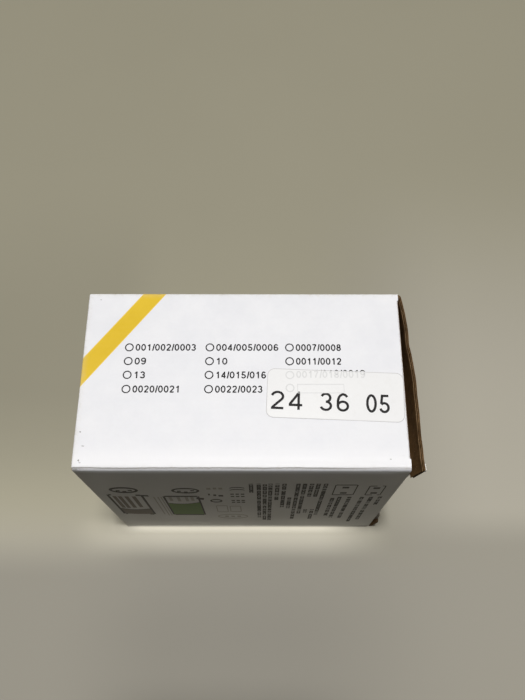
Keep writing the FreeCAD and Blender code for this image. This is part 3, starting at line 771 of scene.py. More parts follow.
# Below the first height and above the second, the tuck's fold is painted near black as shade in the gap into
# the box; below the first, the closure's free edge is too.
EAR_LOW, EAR_HIGH = 36.0, 127.0
# How far the closure's upper edge stands out of the tube, from its free corner to its crease.
EDGE_Y = [-42.0, -38.0, -34.0, -29.0, -17.0, -8.0, -1.0, 5.0, 12.0, 16.7, 24.0, 34.0, 42.0, 43.7]
EDGE_OUT = [6.2, 5.9, 5.9, 5.6, 5.7, 5.5, 5.5, 5.1, 4.4, 3.7, 3.8, 3.0, 1.7, 1.65]
FLUSH = 1.72  # how far it stands out where it isn't pushed open
CLOSURE_BLANK = 84.0  # its width on the unfolded blank
CLOSURE_FLAT = 82.0  # its width from crease to free edge
# Shreds of torn paper: ends along the free edge, and how far below and above the top they reach.
SHREDS = ((-0.1, 0.9, 1.6, 0.15), (0.7, 2.3, 2.2, 0.05), (2.0, 3.1, 0.9, -0.1))
# How far down the upper edge's stand-out reaches, along the closure.
REACH_Y = [FREE_Y, -30.0, 0.0, 43.0]
REACH_DOWN = [15.0, 21.0, 36.0, 52.0]

TUCK_FOLD = 1.5  # how far the tuck's root lies behind the closure's outer face
TUCK_FACE = TUCK_LOW[1] + 0.06
TUCK_TIP = TUCK_LOW[0] + 0.05
TUCK_LEAN = math.tan(math.radians(6.0))
TUCK_START = 1.2  # how far past the fold the crease reaches along the tuck


def stand_out(y, z):
    """Distance of the closure's outer face from the end of the tube."""
    reach = np.interp(y, REACH_Y, REACH_DOWN)
    pushed = np.exp(-((np.maximum(CLOSURE_HIGH[2] - z, 0) / reach) ** 1.7))
    upper = (np.interp(y, EDGE_Y, EDGE_OUT) - FLUSH) * pushed
    lower = 2.7 * smooth(44.0, -38.0, y) * bell(z - 19.0, 14.0)
    belly = 0.35 * np.sin(np.clip((43.7 - y) / 85, 0, 1) * math.pi)
    return FLUSH + upper + lower + belly * (1 - pushed)


def closure_surface(y, z, depth):
    """Points at a depth below the closure's outer face."""
    step = 0.05
    slope_y = (stand_out(y + step, z) - stand_out(y - step, z)) / (2 * step)
    slope_z = (stand_out(y, z + step) - stand_out(y, z - step)) / (2 * step)
    normal = points(1.0, -slope_y, -slope_z)
    normal /= np.linalg.norm(normal, axis=-1, keepdims=True)
    outer = points(RIGHT + stand_out(y, z), y, z)
    return outer - np.asarray(depth, float)[..., None] * normal


def gap_shade(z):
    """2 where the tuck's fold is painted near black as shade in the gap into the box, and 0 elsewhere."""
    return 2.0 * (1 - smooth(EAR_LOW - 3, EAR_LOW, z) + smooth(EAR_HIGH, EAR_HIGH + 3, z))


def tuck_root(z):
    return RIGHT + stand_out(np.full_like(z, FREE_Y), z) - TUCK_FOLD


def tuck_surface(z, run, depth):
    """Points on the tuck, at a run from its fold."""
    return points(tuck_root(z) - run, TUCK_FACE + run * TUCK_LEAN + depth, z)


def make_closure():
    low_z, height = CLOSURE_LOW[2], CLOSURE_HIGH[2] - CLOSURE_LOW[2]
    ear_steps = (TUCK_LOW[2] - 0.3, TUCK_LOW[2] - 0.1, TUCK_HIGH[2] + 0.1, TUCK_HIGH[2] + 0.3)

    def place(u, share, depth):
        """u is 0 at the crease and 1 at the free edge."""
        z = low_z + share * height
        ears = 1 - smooth(*ear_steps[:2], z) * (1 - smooth(*ear_steps[2:], z))
        y = CREASE_Y + u * (FREE_Y + (EAR_Y - FREE_Y) * ears - CREASE_Y)
        rough = 0.16 * np.sin(u * 61.0 + np.asarray(depth) * 5) * np.sin(u * 23.0 + 1.0)
        z = z + rough * (np.abs(share - 0.5) > 0.499)
        return closure_surface(y, z, np.broadcast_to(depth, y.shape))

    def blank(u, share):
        z = low_z + share * height
        rim = np.minimum(share, 1 - share) * height
        wear_and_shade = np.maximum(0.75 * bell(rim, 0.8), bell(rim, 5.0) * smooth(0.93, 1.0, u))
        wear_and_shade = np.maximum(wear_and_shade, bell((1 - u) * CLOSURE_FLAT, FOLD_WEAR))
        # painted near black as shade in the gap into the box, low along the free edge
        wear_and_shade = np.where((u > 0.975) & (z < EAR_LOW), 2.0, wear_and_shade)
        return points(RIGHT - MIDDLE_X + u * CLOSURE_BLANK, BACK + TOP - z, wear_and_shade)

    rows = set(np.linspace(0, 1, 84)) | {0.001, 0.999}
    rows |= {(TUCK_LOW[2] - gap - low_z) / height for gap in (0.35, 0.05)}
    rows |= {(TUCK_HIGH[2] + gap - low_z) / height for gap in (0.05, 0.35)}
    shape = Shape()
    fluted(shape, place, np.linspace(0, 1, 60), 44, rows=sorted(rows), blank=blank)
    shape.make("closure_board", BOARDS, "closure", ["closure_panel"])

    torn = Shape()
    for start, stop, low, high in SHREDS:
        y, share = np.meshgrid(EAR_Y + np.linspace(start, stop, 5), np.linspace(0, 1, 5), indexing="ij")
        z = CLOSURE_HIGH[2] - low + share * (low + high) + 0.12 * np.sin(y * 9.0 + share * 4)
        lift = 0.30 + 0.16 * np.sin(y * 5.3 + share * 3.1)
        torn.slab(closure_surface(y, z, -lift), closure_surface(y, z, 0.0 * y), (0, 0, 0))
    torn.make("torn_paper", [LEAFLET], "closure")


def make_tuck():
    def place(u, share, depth):
        taper = 3.5 * smooth(0.35, 1.0, u)
        z = TUCK_LOW[2] + taper + share * (TUCK_HIGH[2] - TUCK_LOW[2] - 2 * taper)
        return tuck_surface(z, TUCK_START + u * (tuck_root(z) - TUCK_TIP - TUCK_START), depth)

    def blank(u, share):
        z = TUCK_LOW[2] + share * (TUCK_HIGH[2] - TUCK_LOW[2])
        run = TUCK_START + u * (13.0 - TUCK_START)
        # wear near the fold, and painted shade of the gap into the box near its ends
        wear_and_shade = np.maximum(bell(run, FOLD_WEAR), gap_shade(z) * (u < 0.5))
        return points(UNPRINTED + 10 + run, BACK + TOP - z, wear_and_shade)

    shape = Shape()
    fluted(shape, place, np.linspace(0, 1, 12), 41, cells=60, blank=blank)
    shape.make("tuck_board", BOARDS, "tuck", ["tuck_flap"])


def make_dust_flaps():
    start = 0.6  # the crease covers the board as far as this
    for end, sign in (("upper", -1), ("lower", 1)):
        low, high = cad("dust_flap_" + end)
        length = high[2] - low[2]
        root = low[2] if sign > 0 else high[2]
        tip_low, tip_high = low[1] + 8.0, high[1] - length * math.tan(math.radians(31.0))

        def place(u, share, depth):
            run = start + u * (length - start)
            corner = 2.5 * smooth(0.90, 1.0, u)
            side_low = low[1] + (tip_low - low[1]) * run / length + corner
            side_high = high[1] + (tip_high - high[1]) * run / length - corner
            sag = 0.35 * smooth(0.2, 1.0, u)
            return points(RIGHT - sag - depth, side_low + share * (side_high - side_low),
                          root + sign * run)

        def blank(u, share):
            return points(UNPRINTED + u * length, share * 78, bell(u * length, WEAR))

        shape = Shape()
        fluted(shape, place, np.linspace(0, 1, 20), 24, blank=blank)
        shape.make("dust_board_" + end, BOARDS, "dust_" + end, ["dust_flap_" + end])


def curve_path(start, control, end, count):
    """A quadratic curve; its points may be arrays along the crease."""
    share = np.linspace(0, 1, count)[:, None, None]
    return (1 - share) ** 2 * start + 2 * share * (1 - share) * control + share * share * end


def crease(name, outer, inner, bodies, start, end):
    """A strip of bent board across a hinge, between two paths of points."""
    blank = points(UNPRINTED, outer[..., 2], CREASE_WORN)
    if bodies[1] == "tuck":
        # painted shade of the gap into the box, at the ends of the tuck's fold
        blank[4:, :, 2] = np.maximum(CREASE_WORN, gap_shade(outer[4:, :, 2]))
        blank[-1, :, 2] = np.maximum(bell(TUCK_START, FOLD_WEAR), gap_shade(outer[-1, :, 2]))
    shape = Shape()
    shape.slab(outer, inner, blank=blank)
    shape.make(name, BOARDS, bodies[0], bend=(bodies[1], start, end))


def make_creases():
    z = np.linspace(CLOSURE_LOW[2], CLOSURE_HIGH[2], 90)
    y = np.full_like(z, CREASE_Y)
    start_x = RIGHT - HINGE_CUT
    outer = curve_path(points(start_x, BACK, z),
                       points(RIGHT + stand_out(y, z) - 0.25, BACK + 0.02, z),
                       closure_surface(y, z, 0.0 * z), 14)
    inner = curve_path(points(start_x, BACK - BOARD, z), points(RIGHT - 0.25, BACK - BOARD, z),
                       closure_surface(y, z, BOARD + 0.0 * z), 14)
    crease("closure_crease", outer, inner, ("carton", "closure"),
           (RIGHT - 0.9, BACK, TOP / 2), (RIGHT + 1.1, CREASE_Y + 0.1, TOP / 2))

    y = np.linspace(FLAP_LOW[1], FLAP_HIGH[1], 40)
    for end, level, up in (("upper", TOP, 1), ("lower", 0.0, -1)):
        root = level - up * (BOARD + 0.05 + 0.6)
        outer = curve_path(points(RIGHT - END_ROLL, y, level),
                           points(RIGHT - 0.02, y, level - up * 0.05), points(RIGHT, y, root), 12)
        inner = curve_path(points(RIGHT - END_ROLL - 0.4, y, level - up * BOARD),
                           points(RIGHT - BOARD + 0.1, y, level - up * (BOARD + 0.1)),
                           points(RIGHT - BOARD, y, root), 12)
        crease("dust_crease_" + end, outer, inner, ("carton", "dust_" + end),
               (RIGHT - 0.8, 0, level), (RIGHT, 0, level - up * (BOARD + 0.3)))

    # The closure stands out by a different amount at each height, so its fold is made in short strips.
    z = np.linspace(TUCK_LOW[2], TUCK_HIGH[2], 81)
    y = np.full_like(z, FREE_Y)
    outer = curve_path(closure_surface(y, z, 0.0 * z),
                       points(RIGHT + stand_out(y, z) - 0.1, TUCK_FACE + 0.05, z),
                       points(tuck_root(z), TUCK_FACE, z), 12)
    inner = curve_path(closure_surface(y, z, BOARD + 0.0 * z),
                       points(tuck_root(z) - 0.05, TUCK_FACE + BOARD + 0.02, z),
                       points(tuck_root(z), TUCK_FACE + BOARD, z), 12)
    runs = (0.6, TUCK_START)
    outer = np.concatenate([outer] + [tuck_surface(z, run, 0.0)[None] for run in runs])
    inner = np.concatenate([inner] + [tuck_surface(z, run, BOARD)[None] for run in runs])
    first, number = 0, 1
    for last in range(1, len(z)):
        roots = tuck_root(z[first:last + 1])
        if np.ptp(roots) > 0.35 or last - first == 16 or last == len(z) - 1:
            root = roots.mean()
            crease(f"tuck_crease_{number}", outer[:, first:last + 1], inner[:, first:last + 1],
                   ("closure", "tuck"), (root, FREE_Y, TOP / 2), (root - TUCK_START, FREE_Y, TOP / 2))
            first, number = last, number + 1


# ---- inside ----


def make_cradle():
    for side, out in (("front", -1), ("back", 1)):
        shape = standing_board("cradle_" + side, out, 14, 44, 12)
        shape.make("cradle_board_" + side, PLAIN_BOARDS, "cradle", ["cradle_" + side], "kraft_board")


def make_leaflet():
    """One sheet folded into four layers."""
    low, high = cad("leaflet")
    layers, sheet = 4, 0.13
    pitch = (high[1] - low[1] - sheet) / (layers - 1)
    ends = (low[0] + 0.6, high[0] - 0.6)
    path, normals = [], []
    for layer in range(layers):
        way = 1 if layer % 2 == 0 else -1
        y = low[1] + sheet / 2 + layer * pitch
        runs = np.linspace(*ends[::way], 8)
        path += [(x, y) for x in runs]
        normals += [(0, -way)] * len(runs)
        if layer < layers - 1:
            for angle in np.linspace(-math.pi / 2, math.pi / 2, 8)[1:-1]:
                cos, sin = way * math.cos(angle), math.sin(angle)
                path.append((runs[-1] + pitch / 2 * cos, y + pitch / 2 * (1 + sin)))
                normals.append((cos, sin))
    path, normals = np.array(path), np.array(normals, float)
    z = np.linspace(low[2], high[2], 6)
    outer, inner = (points(line[:, :1], line[:, 1:], z)
                    for line in (path + sheet / 2 * normals, path - sheet / 2 * normals))
    shape = Shape()
    shape.slab(outer, inner, (0, 0, 0))
    shape.make("folded_leaflet", [LEAFLET], "carton", ["leaflet"], "leaflet_paper", sharp=50)


# ---- print ----

LIFT = 0.012  # how far the print stands above the board

ROWS = (15.1, 8.1, 1.2, -5.8)
COLUMNS = (-53.4, -15.45, 22.0)  # middles of the circles
CIRCLE, RING_LINE, CAP, GAP = 2.07, 0.56, 3.3, 1.15
LIST = (
    (("001/002/0003", 28.3), ("004/005/0006", 29.1), ("0007/0008", 21.1)),
    (("09", 5.3), ("10", 5.3), ("0011/0012", 21.0)),
    (("13", 5.3), ("14/015/016", 23.3), ("0017/018/0019", 31.8)),
    (("0020/0021", 21.7), ("0022/0023", 21.7), None),
)
HALF_HIDDEN = 0.85  # the entry half under the label is printed this much higher
GHOST_DROP = 0.55  # and it shows through the label this much lower

LABEL_MIDDLE, LABEL_SIZE, LABEL_TURN = (42.7, -8.6), (63.0, 24.0), math.radians(-2.3)
LABEL_ROUND, LABEL_TOP, LABEL_BEVEL = 3.5, 0.10, 0.34
LABEL_PRINT = LABEL_TOP + 0.025  # height of the print on it
LABEL_CAP, LABEL_STROKE = 8.8, 0.13
LABEL_DIGITS = (("24", 13.3, 14.9, -15.3), ("36", 35.8, 13.4, -16.2), ("05", 56.9, 10.6, -17.0))

# Small rubbed marks near the corners: middle, length and width.
SCUFFS = (
    (-72.4, -26.3, 0.9, 0.8), (-70.6, -32.8, 1.5, 0.5), (-71.9, -39.4, 0.8, 1.1),
    (-71.3, -40.4, 1.2, 0.35), (-69.0, 40.2, 0.9, 0.4), (66.0, -38.6, 1.1, 0.4),
)

# Columns of small print on the front: middle, lower end and upper end.
TEXT_COLUMNS = (
    (3.9, 100.1, 119.5), (7.6, 32.1, 119.6), (10.5, 24.1, 119.6), (13.2, 24.1, 119.6),
    (16.5, 81.9, 119.6), (19.8, 63.3, 119.6), (23.1, 58.2, 88.7), (26.4, 27.7, 119.7),
    (29.5, 44.7, 119.7), (32.8, 90.1, 119.7), (32.9, 46.3, 57.4), (36.6, 27.8, 57.4),
    (35.9, 90.1, 119.7), (39.4, 39.8, 119.7), (45.2, 38.2, 90.1), (48.6, 33.1, 90.2),
    (53.6, 31.4, 90.2), (60.0, 19.0, 90.2), (64.6, 28.0, 90.3), (69.2, 69.6, 90.3),
)


def on_top(flat, height, lift=LIFT):
    u, v = np.asarray(flat, float).T + [[MIDDLE_X], [0]]
    return TOP_PANEL.place(u, v, top_dip(u, v) - lift - height)


def on_front(flat, height):
    u, v = np.asarray(flat, float).T + [[MIDDLE_X], [0]]
    return FRONT_PANEL.place(u, v, side_dip(u, v) - LIFT - height)


def on_label(flat, height):
    """Points given as on the top panel, but lying on the label."""
    return on_top(flat, height, LABEL_PRINT)


def turned(x, y, angle):
    return x * math.cos(angle) - y * math.sin(angle), x * math.sin(angle) + y * math.cos(angle)


def arc(x, y, wide, high, start, stop, steps=14):
    angles = np.radians(np.linspace(start, stop, steps))
    return [(x + wide * math.cos(angle), y + high * math.sin(angle)) for angle in angles]


def bar(low_x, low_y, high_x, high_y):
    return [(low_x, low_y), (high_x, low_y), (high_x, high_y), (low_x, high_y)]


def loop(shape, centre, radii, width, place, slot=0, rise=None):
    """A printed oval ring, made of two half rings; rise is its width above and below."""
    inside = (radii[0] - width, radii[1] - (rise or width))
    for start in (0, 180):
        outer, inner = (arc(*centre, *size, start, start + 180, 21) for size in (radii, inside))
        for index in range(len(outer) - 1):
            shape.prism([outer[index], outer[index + 1], inner[index + 1], inner[index]], place, slot)


# Plain digits as the middle lines of their strokes, in a box one cap height high.
SIX = [arc(0.31, 0.30, 0.225, 0.24, 0, 360, 22), arc(0.325, 0.50, 0.24, 0.44, 42, 180) + [(0.085, 0.30)]]
DIGITS = {
    "0": [arc(0.30, 0.50, 0.235, 0.44, 0, 360, 26)],
    "1": [[(0.13, 0.72), (0.26, 0.80), (0.365, 0.95)], [(0.365, 1.0), (0.365, 0.0)]],
    "2": [arc(0.30, 0.70, 0.225, 0.24, 170, -38) + [(0.10, 0.10)], [(0.045, 0.062), (0.55, 0.062)]],
    "3": [arc(0.285, 0.72, 0.20, 0.22, 160, -90), arc(0.285, 0.285, 0.23, 0.225, 90, -165)],
    "4": [[(0.42, 0.0), (0.42, 1.0)], [(0.42, 0.93), (0.06, 0.29)], [(0.02, 0.26), (0.57, 0.26)]],
    "5": [[(0.53, 0.94), (0.17, 0.94), (0.115, 0.49)], arc(0.29, 0.30, 0.235, 0.24, 138, -165)],
    "6": SIX,
    "7": [[(0.05, 0.94), (0.54, 0.94)], [(0.53, 0.92), (0.38, 0.64), (0.27, 0.34), (0.215, 0.0)]],
    "8": [arc(0.30, 0.735, 0.19, 0.205, 0, 360, 20), arc(0.30, 0.285, 0.225, 0.225, 0, 360, 22)],
    "9": [[(0.60 - x, 1 - y) for x, y in line] for line in SIX],
    "/": [[(0.04, -0.02), (0.24, 1.02)]],
}
ADVANCE, SLASH_ADVANCE, STROKE = 0.745, 0.36, 0.185
FIRST_GAP, GAPS = 0.06, 0.16  # white before the first digit, and at both ends together


def stroke(shape, line, width, place):
    """A flat ribbon along a line of points, closed where the line is."""
    line = np.array(line, float)
    closed = np.allclose(line[0], line[-1])
    way = np.diff(line, axis=0)
    way /= np.linalg.norm(way, axis=1, keepdims=True)
    before = np.vstack([way[-1:] if closed else way[:1], way])
    after = np.vstack([way, way[:1] if closed else way[-1:]])
    mean = before + after
    mean /= np.linalg.norm(mean, axis=1, keepdims=True)
    reach = width / 2 / np.maximum((mean * after).sum(axis=1), 0.5)
    side = np.stack([-mean[:, 1], mean[:, 0]], axis=1) * reach[:, None]
    low, high = line - side, line + side
    for index in range(len(line) - 1):
        shape.prism([low[index], low[index + 1], high[index + 1], high[index]], place)


def lettering(shape, text, left, base, cap, place, width, turn=0.0, weight=STROKE):
    """Digits set from left and base, cap high and width wide together."""
    advances = [SLASH_ADVANCE if character == "/" else ADVANCE for character in text]
    across = width / (sum(advances) - GAPS)
    pen = -FIRST_GAP
    for character, advance in zip(text, advances):
        for line in DIGITS[character]:
            flat = [turned((pen + x) * across, y * cap, turn) for x, y in line]
            stroke(shape, [(left + x, base + y) for x, y in flat], weight * cap, place)
        pen += advance


def entry_print(shape, text, width, column, base, place):
    lettering(shape, text, column + CIRCLE + GAP, base - CAP / 2, CAP, place, width)


def make_top_print():
    shape = Shape()
    for row, line in zip(ROWS, LIST):
        for column, entry in zip(COLUMNS, line):
            if entry:
                loop(shape, (column, row), (CIRCLE, CIRCLE), RING_LINE, on_top)
                raised = HALF_HIDDEN if entry is LIST[2][2] else 0.0
                entry_print(shape, *entry, column, row + raised, on_top)
    shape.make("model_list_print", [INK], "carton")
    scuffs = Shape()
    for x, y, long, wide in SCUFFS:
        loose = [(x - long / 2, y), (x - long / 6, y + wide / 2), (x + long / 2, y + wide / 5),
                 (x + long / 5, y - wide / 2)]
        scuffs.prism(loose, on_top, thick=0.02)
    scuffs.make("corner_scuffs", [SCUFF], "carton")


def make_label():
    """Rounded sheet that follows the panel; rings of points shrink towards its middle."""
    half_x, half_y = (side / 2 - LABEL_ROUND for side in LABEL_SIZE)
    shape = Shape()

    def ring(inset, size, height):
        rim = []
        for way_x, way_y, start in ((1, 1, 0), (-1, 1, 90), (-1, -1, 180), (1, -1, 270)):
            round_off = LABEL_ROUND - inset
            rim += arc(way_x * half_x, way_y * half_y, round_off, round_off, start, start + 90, 10)
        x, y = turned(*(np.array(rim) * size).T, LABEL_TURN)
        return on_top(np.stack([LABEL_MIDDLE[0] + x, LABEL_MIDDLE[1] + y], axis=1), height, 0.0)

    heights = [(0.0, 1.0, 0.0), (0.0, 1.0, LABEL_TOP), (LABEL_BEVEL, 1.0, LABEL_TOP)]
    heights += [(LABEL_BEVEL, size, LABEL_TOP) for size in np.linspace(0.97, 0.05, 18)]
    rings = [ring(*height) for height in heights]
    count = len(rings[0])
    for grid in rings:
        shape.points.extend(map(tuple, grid))
        shape.blank.extend([(0.0, 0.0, 0.0)] * count)
    for level in range(len(rings) - 1):
        lower, upper = level * count, (level + 1) * count
        for here, there in zip(range(count), [*range(1, count), 0]):
            shape.faces.append((lower + here, lower + there, upper + there, upper + here))
            shape.slots.append(1 if level < 2 else 0)
    shape.faces.append(tuple(range((len(rings) - 1) * count, len(rings) * count)))
    shape.faces.append(tuple(range(count))[::-1])
    shape.slots.extend([0, 0])
    shape.make("label_sheet", [LABEL, LABEL_EDGE_SHADE], "carton", ["stock_label"], "label_paper", sharp=25)

    digits = Shape()
    for text, left, width, base in LABEL_DIGITS:
        lettering(digits, text, left, base, LABEL_CAP, on_label, width, LABEL_TURN, LABEL_STROKE)
    digits.make("label_digits", [INK], "carton", slot="label_paper")

    # what the label covers shows faintly through it
    ghost = Shape()
    for row in (ROWS[2], ROWS[3] + 0.6):
        loop(ghost, (COLUMNS[2], row), (CIRCLE, CIRCLE), RING_LINE, on_label)
    entry_print(ghost, *LIST[2][2], COLUMNS[2], ROWS[2] + HALF_HIDDEN - GHOST_DROP, on_label)
    box, line = bar(25.5, -7.6, 46.8, -3.4), 0.3
    corners = [np.array(corner) for corner in box]
    for here, there in zip(corners, corners[1:] + corners[:1]):
        way = (there - here) / np.linalg.norm(there - here) * line / 2
        side = np.array([-way[1], way[0]])
        start, end = here - way, there + way
        ghost.prism([start - side, end - side, end + side, start + side], on_label)
    ghost.make("print_under_label", [GHOST], "carton", slot="label_paper")


def make_small_print():
    """Rows of letter-like marks too small to read, turned on their side."""
    size, stem = 2.05, 0.62
    pick = random.Random(11)
    shape = Shape()
    for middle, low, high in TEXT_COLUMNS:
        left, right, z = middle - size / 2, middle + size / 2, high
        while z > low + 1.0:
            if pick.random() < 0.10:  # a space between words
                z -= 1.3
                continue
            wide = pick.uniform(1.25, 1.75)
            shape.prism(bar(left, z - stem, right, z), on_front)
            kind = pick.random()
            if kind < 0.45:
                shape.prism(bar(left, z - wide, right, z - wide + stem), on_front)
                level = pick.choice((left, middle - stem / 2, right - stem))
                shape.prism(bar(level, z - wide + stem, level + stem, z - stem), on_front)
            elif kind < 0.8:
                for level in (left, right - stem):
                    shape.prism(bar(level, z - wide, level + stem, z - stem), on_front)
            z -= wide + 0.30
    shape.make("small_print", [FRONT_INK], "carton")


def frame_bars(shape, low_x, low_y, high_x, high_y, across, rise, slot=0):
    """A printed frame on the front, its level bars thicker than its upright ones."""
    for x in (low_x, high_x):
        shape.prism(bar(x - across / 2, low_y, x + across / 2, high_y), on_front, slot)
    for y in (low_y, high_y):
        level = bar(low_x + across / 2, y - rise / 2, high_x - across / 2, y + rise / 2)
        shape.prism(level, on_front, slot)


def marks(shape, middles, across, down, up, slot=0):
    """Small blocks on the front, each about a middle."""
    for x, z in middles:
        shape.prism(bar(x - across, z - down, x + across, z + up), on_front, slot)


def posts(shape, lows, top, across, slot):
    """Upright bars on the front, from their own lower ends to one top."""
    for x, low in lows:
        shape.prism(bar(x - across, low, x + across, top), on_front, slot)


def strips(shape, curve, thick, floor=None, slot=0):
    """A line along a curve on the front, filled in down to a floor if there is one."""
    for left, right in zip(curve, curve[1:]):
        if floor:
            shape.prism([(left[0], floor), (right[0], floor), right, left], on_front, slot)
        shape.prism([left, right, (right[0], right[1] + thick), (left[0], left[1] + thick)], on_front)


def sagging(x, run, z, drop, climb=0.0):
    """A line that hangs between its two ends, the far one higher by the climb."""
    return [(x + run * share, z - drop * math.sin(share * math.pi) + climb * share)
            for share in np.linspace(0, 1, 13)]


def make_icons():
    """Two framed tables, ovals and small generic marks."""
    shape = Shape()
    frame_bars(shape, -68.7, 43.0, -51.5, 93.3, 1.25, 3.0)
    posts(shape, ((-65.9, 60.5), (-63.1, 60.5), (-59.7, 61.5), (-56.0, 63.0)), 90.6, 1.0, 1)
    strips(shape, sagging(-68.3, 16.4, 58.2, 2.6), 1.0, 43.4, 1)
    shape.prism([(-52.2, 91.5), (-48.2, 90.3), (-48.2, 93.6), (-52.2, 94.2)], on_front)
    loop(shape, (-58.5, 105.2), (7.1, 6.6), 1.5, on_front, rise=2.8)
    marks(shape, ((-61.5, 103.6), (-58.5, 101.8), (-55.5, 104.4)), 1.0, 1.0, 1.4)
    posts(shape, ((-45.9, 42.5), (-43.8, 39.2), (-42.2, 39.2)), 89.6, 0.32, 2)

    frame_bars(shape, -40.7, 41.7, -23.2, 91.0, 1.1, 2.6)
    posts(shape, ((-37.7, 80.0), (-33.6, 79.0), (-29.5, 79.0), (-26.6, 80.5)), 89.3, 0.8, 2)
    strips(shape, sagging(-40.4, 16.9, 74.0, 3.2, 2.0), 0.8, 42.1, 3)
    shape.prism([(-24.6, 84.6), (-21.0, 82.6), (-20.4, 87.0), (-24.2, 88.6)], on_front)
    loop(shape, (-28.4, 104.2), (6.9, 6.2), 1.3, on_front, rise=2.4)
    marks(shape, ((-31.6, 103.0), (-28.4, 101.2), (-25.0, 104.2)), 0.9, 1.0, 1.2)

    # small marks between the tables and the text
    for x, z, wide, slot in ((-16.8, 108.6, 2.0, 2), (-13.8, 109.2, 1.6, 2), (-11.0, 109.0, 1.8, 2),
                             (-17.4, 95.5, 0.9, 0), (-14.6, 93.8, 1.4, 0), (-11.6, 92.6, 2.4, 0)):
        marks(shape, [(x, z)], wide / 2, 1.8, 1.8, slot)
    loop(shape, (-14.6, 80.2), (3.2, 4.2), 0.9, on_front, rise=2.2)
    for low in (108.8, 104.4):
        strips(shape, arc(-3.0, low, 3.6, 2.2, 180, 0, 9), 1.3)
    for row in (96.4, 91.0, 81.2, 76.6):
        marks(shape, [(x, row) for x in (-5.8, -3.2, -0.6)], 0.9, 1.1, 1.1)
    frame_bars(shape, -15.4, 50.2, -9.6, 67.5, 0.5, 1.4, 2)
    frame_bars(shape, -8.1, 50.9, -2.4, 66.1, 0.5, 1.4, 2)
    loop(shape, (-7.5, 36.6), (8.6, 7.0), 0.6, on_front, 2, rise=1.6)
    marks(shape, [(x, 36.5) for x in (-11.0, -7.5, -4.0)], 1.0, 1.9, 1.9, 2)

    # frames over the last two blocks of text
    frame_bars(shape, 44.2, 95.4, 54.6, 117.1, 0.55, 1.4)
    frame_bars(shape, 60.6, 95.0, 68.2, 114.9, 0.55, 1.4)
    marks(shape, ((49.4, 111.5), (49.4, 99.5), (64.4, 110.5), (64.4, 99.5)), 1.6, 1.6, 1.6)
    shape.make("side_icons", [FRONT_INK, BROWN_INK, FAINT_INK, GREEN_INK], "carton")


# ---- setting ----

# Lengths from here on are in metres, but for those times MM.
BACKDROP = rgb(0.300, 0.283, 0.225)  # the room as seen, and the table far off
ROOM_LIGHT = (0.05, 1.0)  # light from the room, in front and behind, times the backdrop
HALF_TABLE = 12.0
HALF_SCREEN, SCREEN_HIGH, SCREEN_Y = 0.7, 0.5, -0.255
LAMP_PLACE, LAMP_POWER, LAMP_SIZE = (0.02, -0.05, 3.0), 72.0, 0.2
CAMERA_LENS, CAMERA_SENSOR = 36.954, (27.0, 36.0)
CAMERA_PLACE = (0.00949 + MIDDLE_X * MM, -0.12005, 0.45414)
CAMERA_TURN = (0.407252, 0.0, 0.001342)


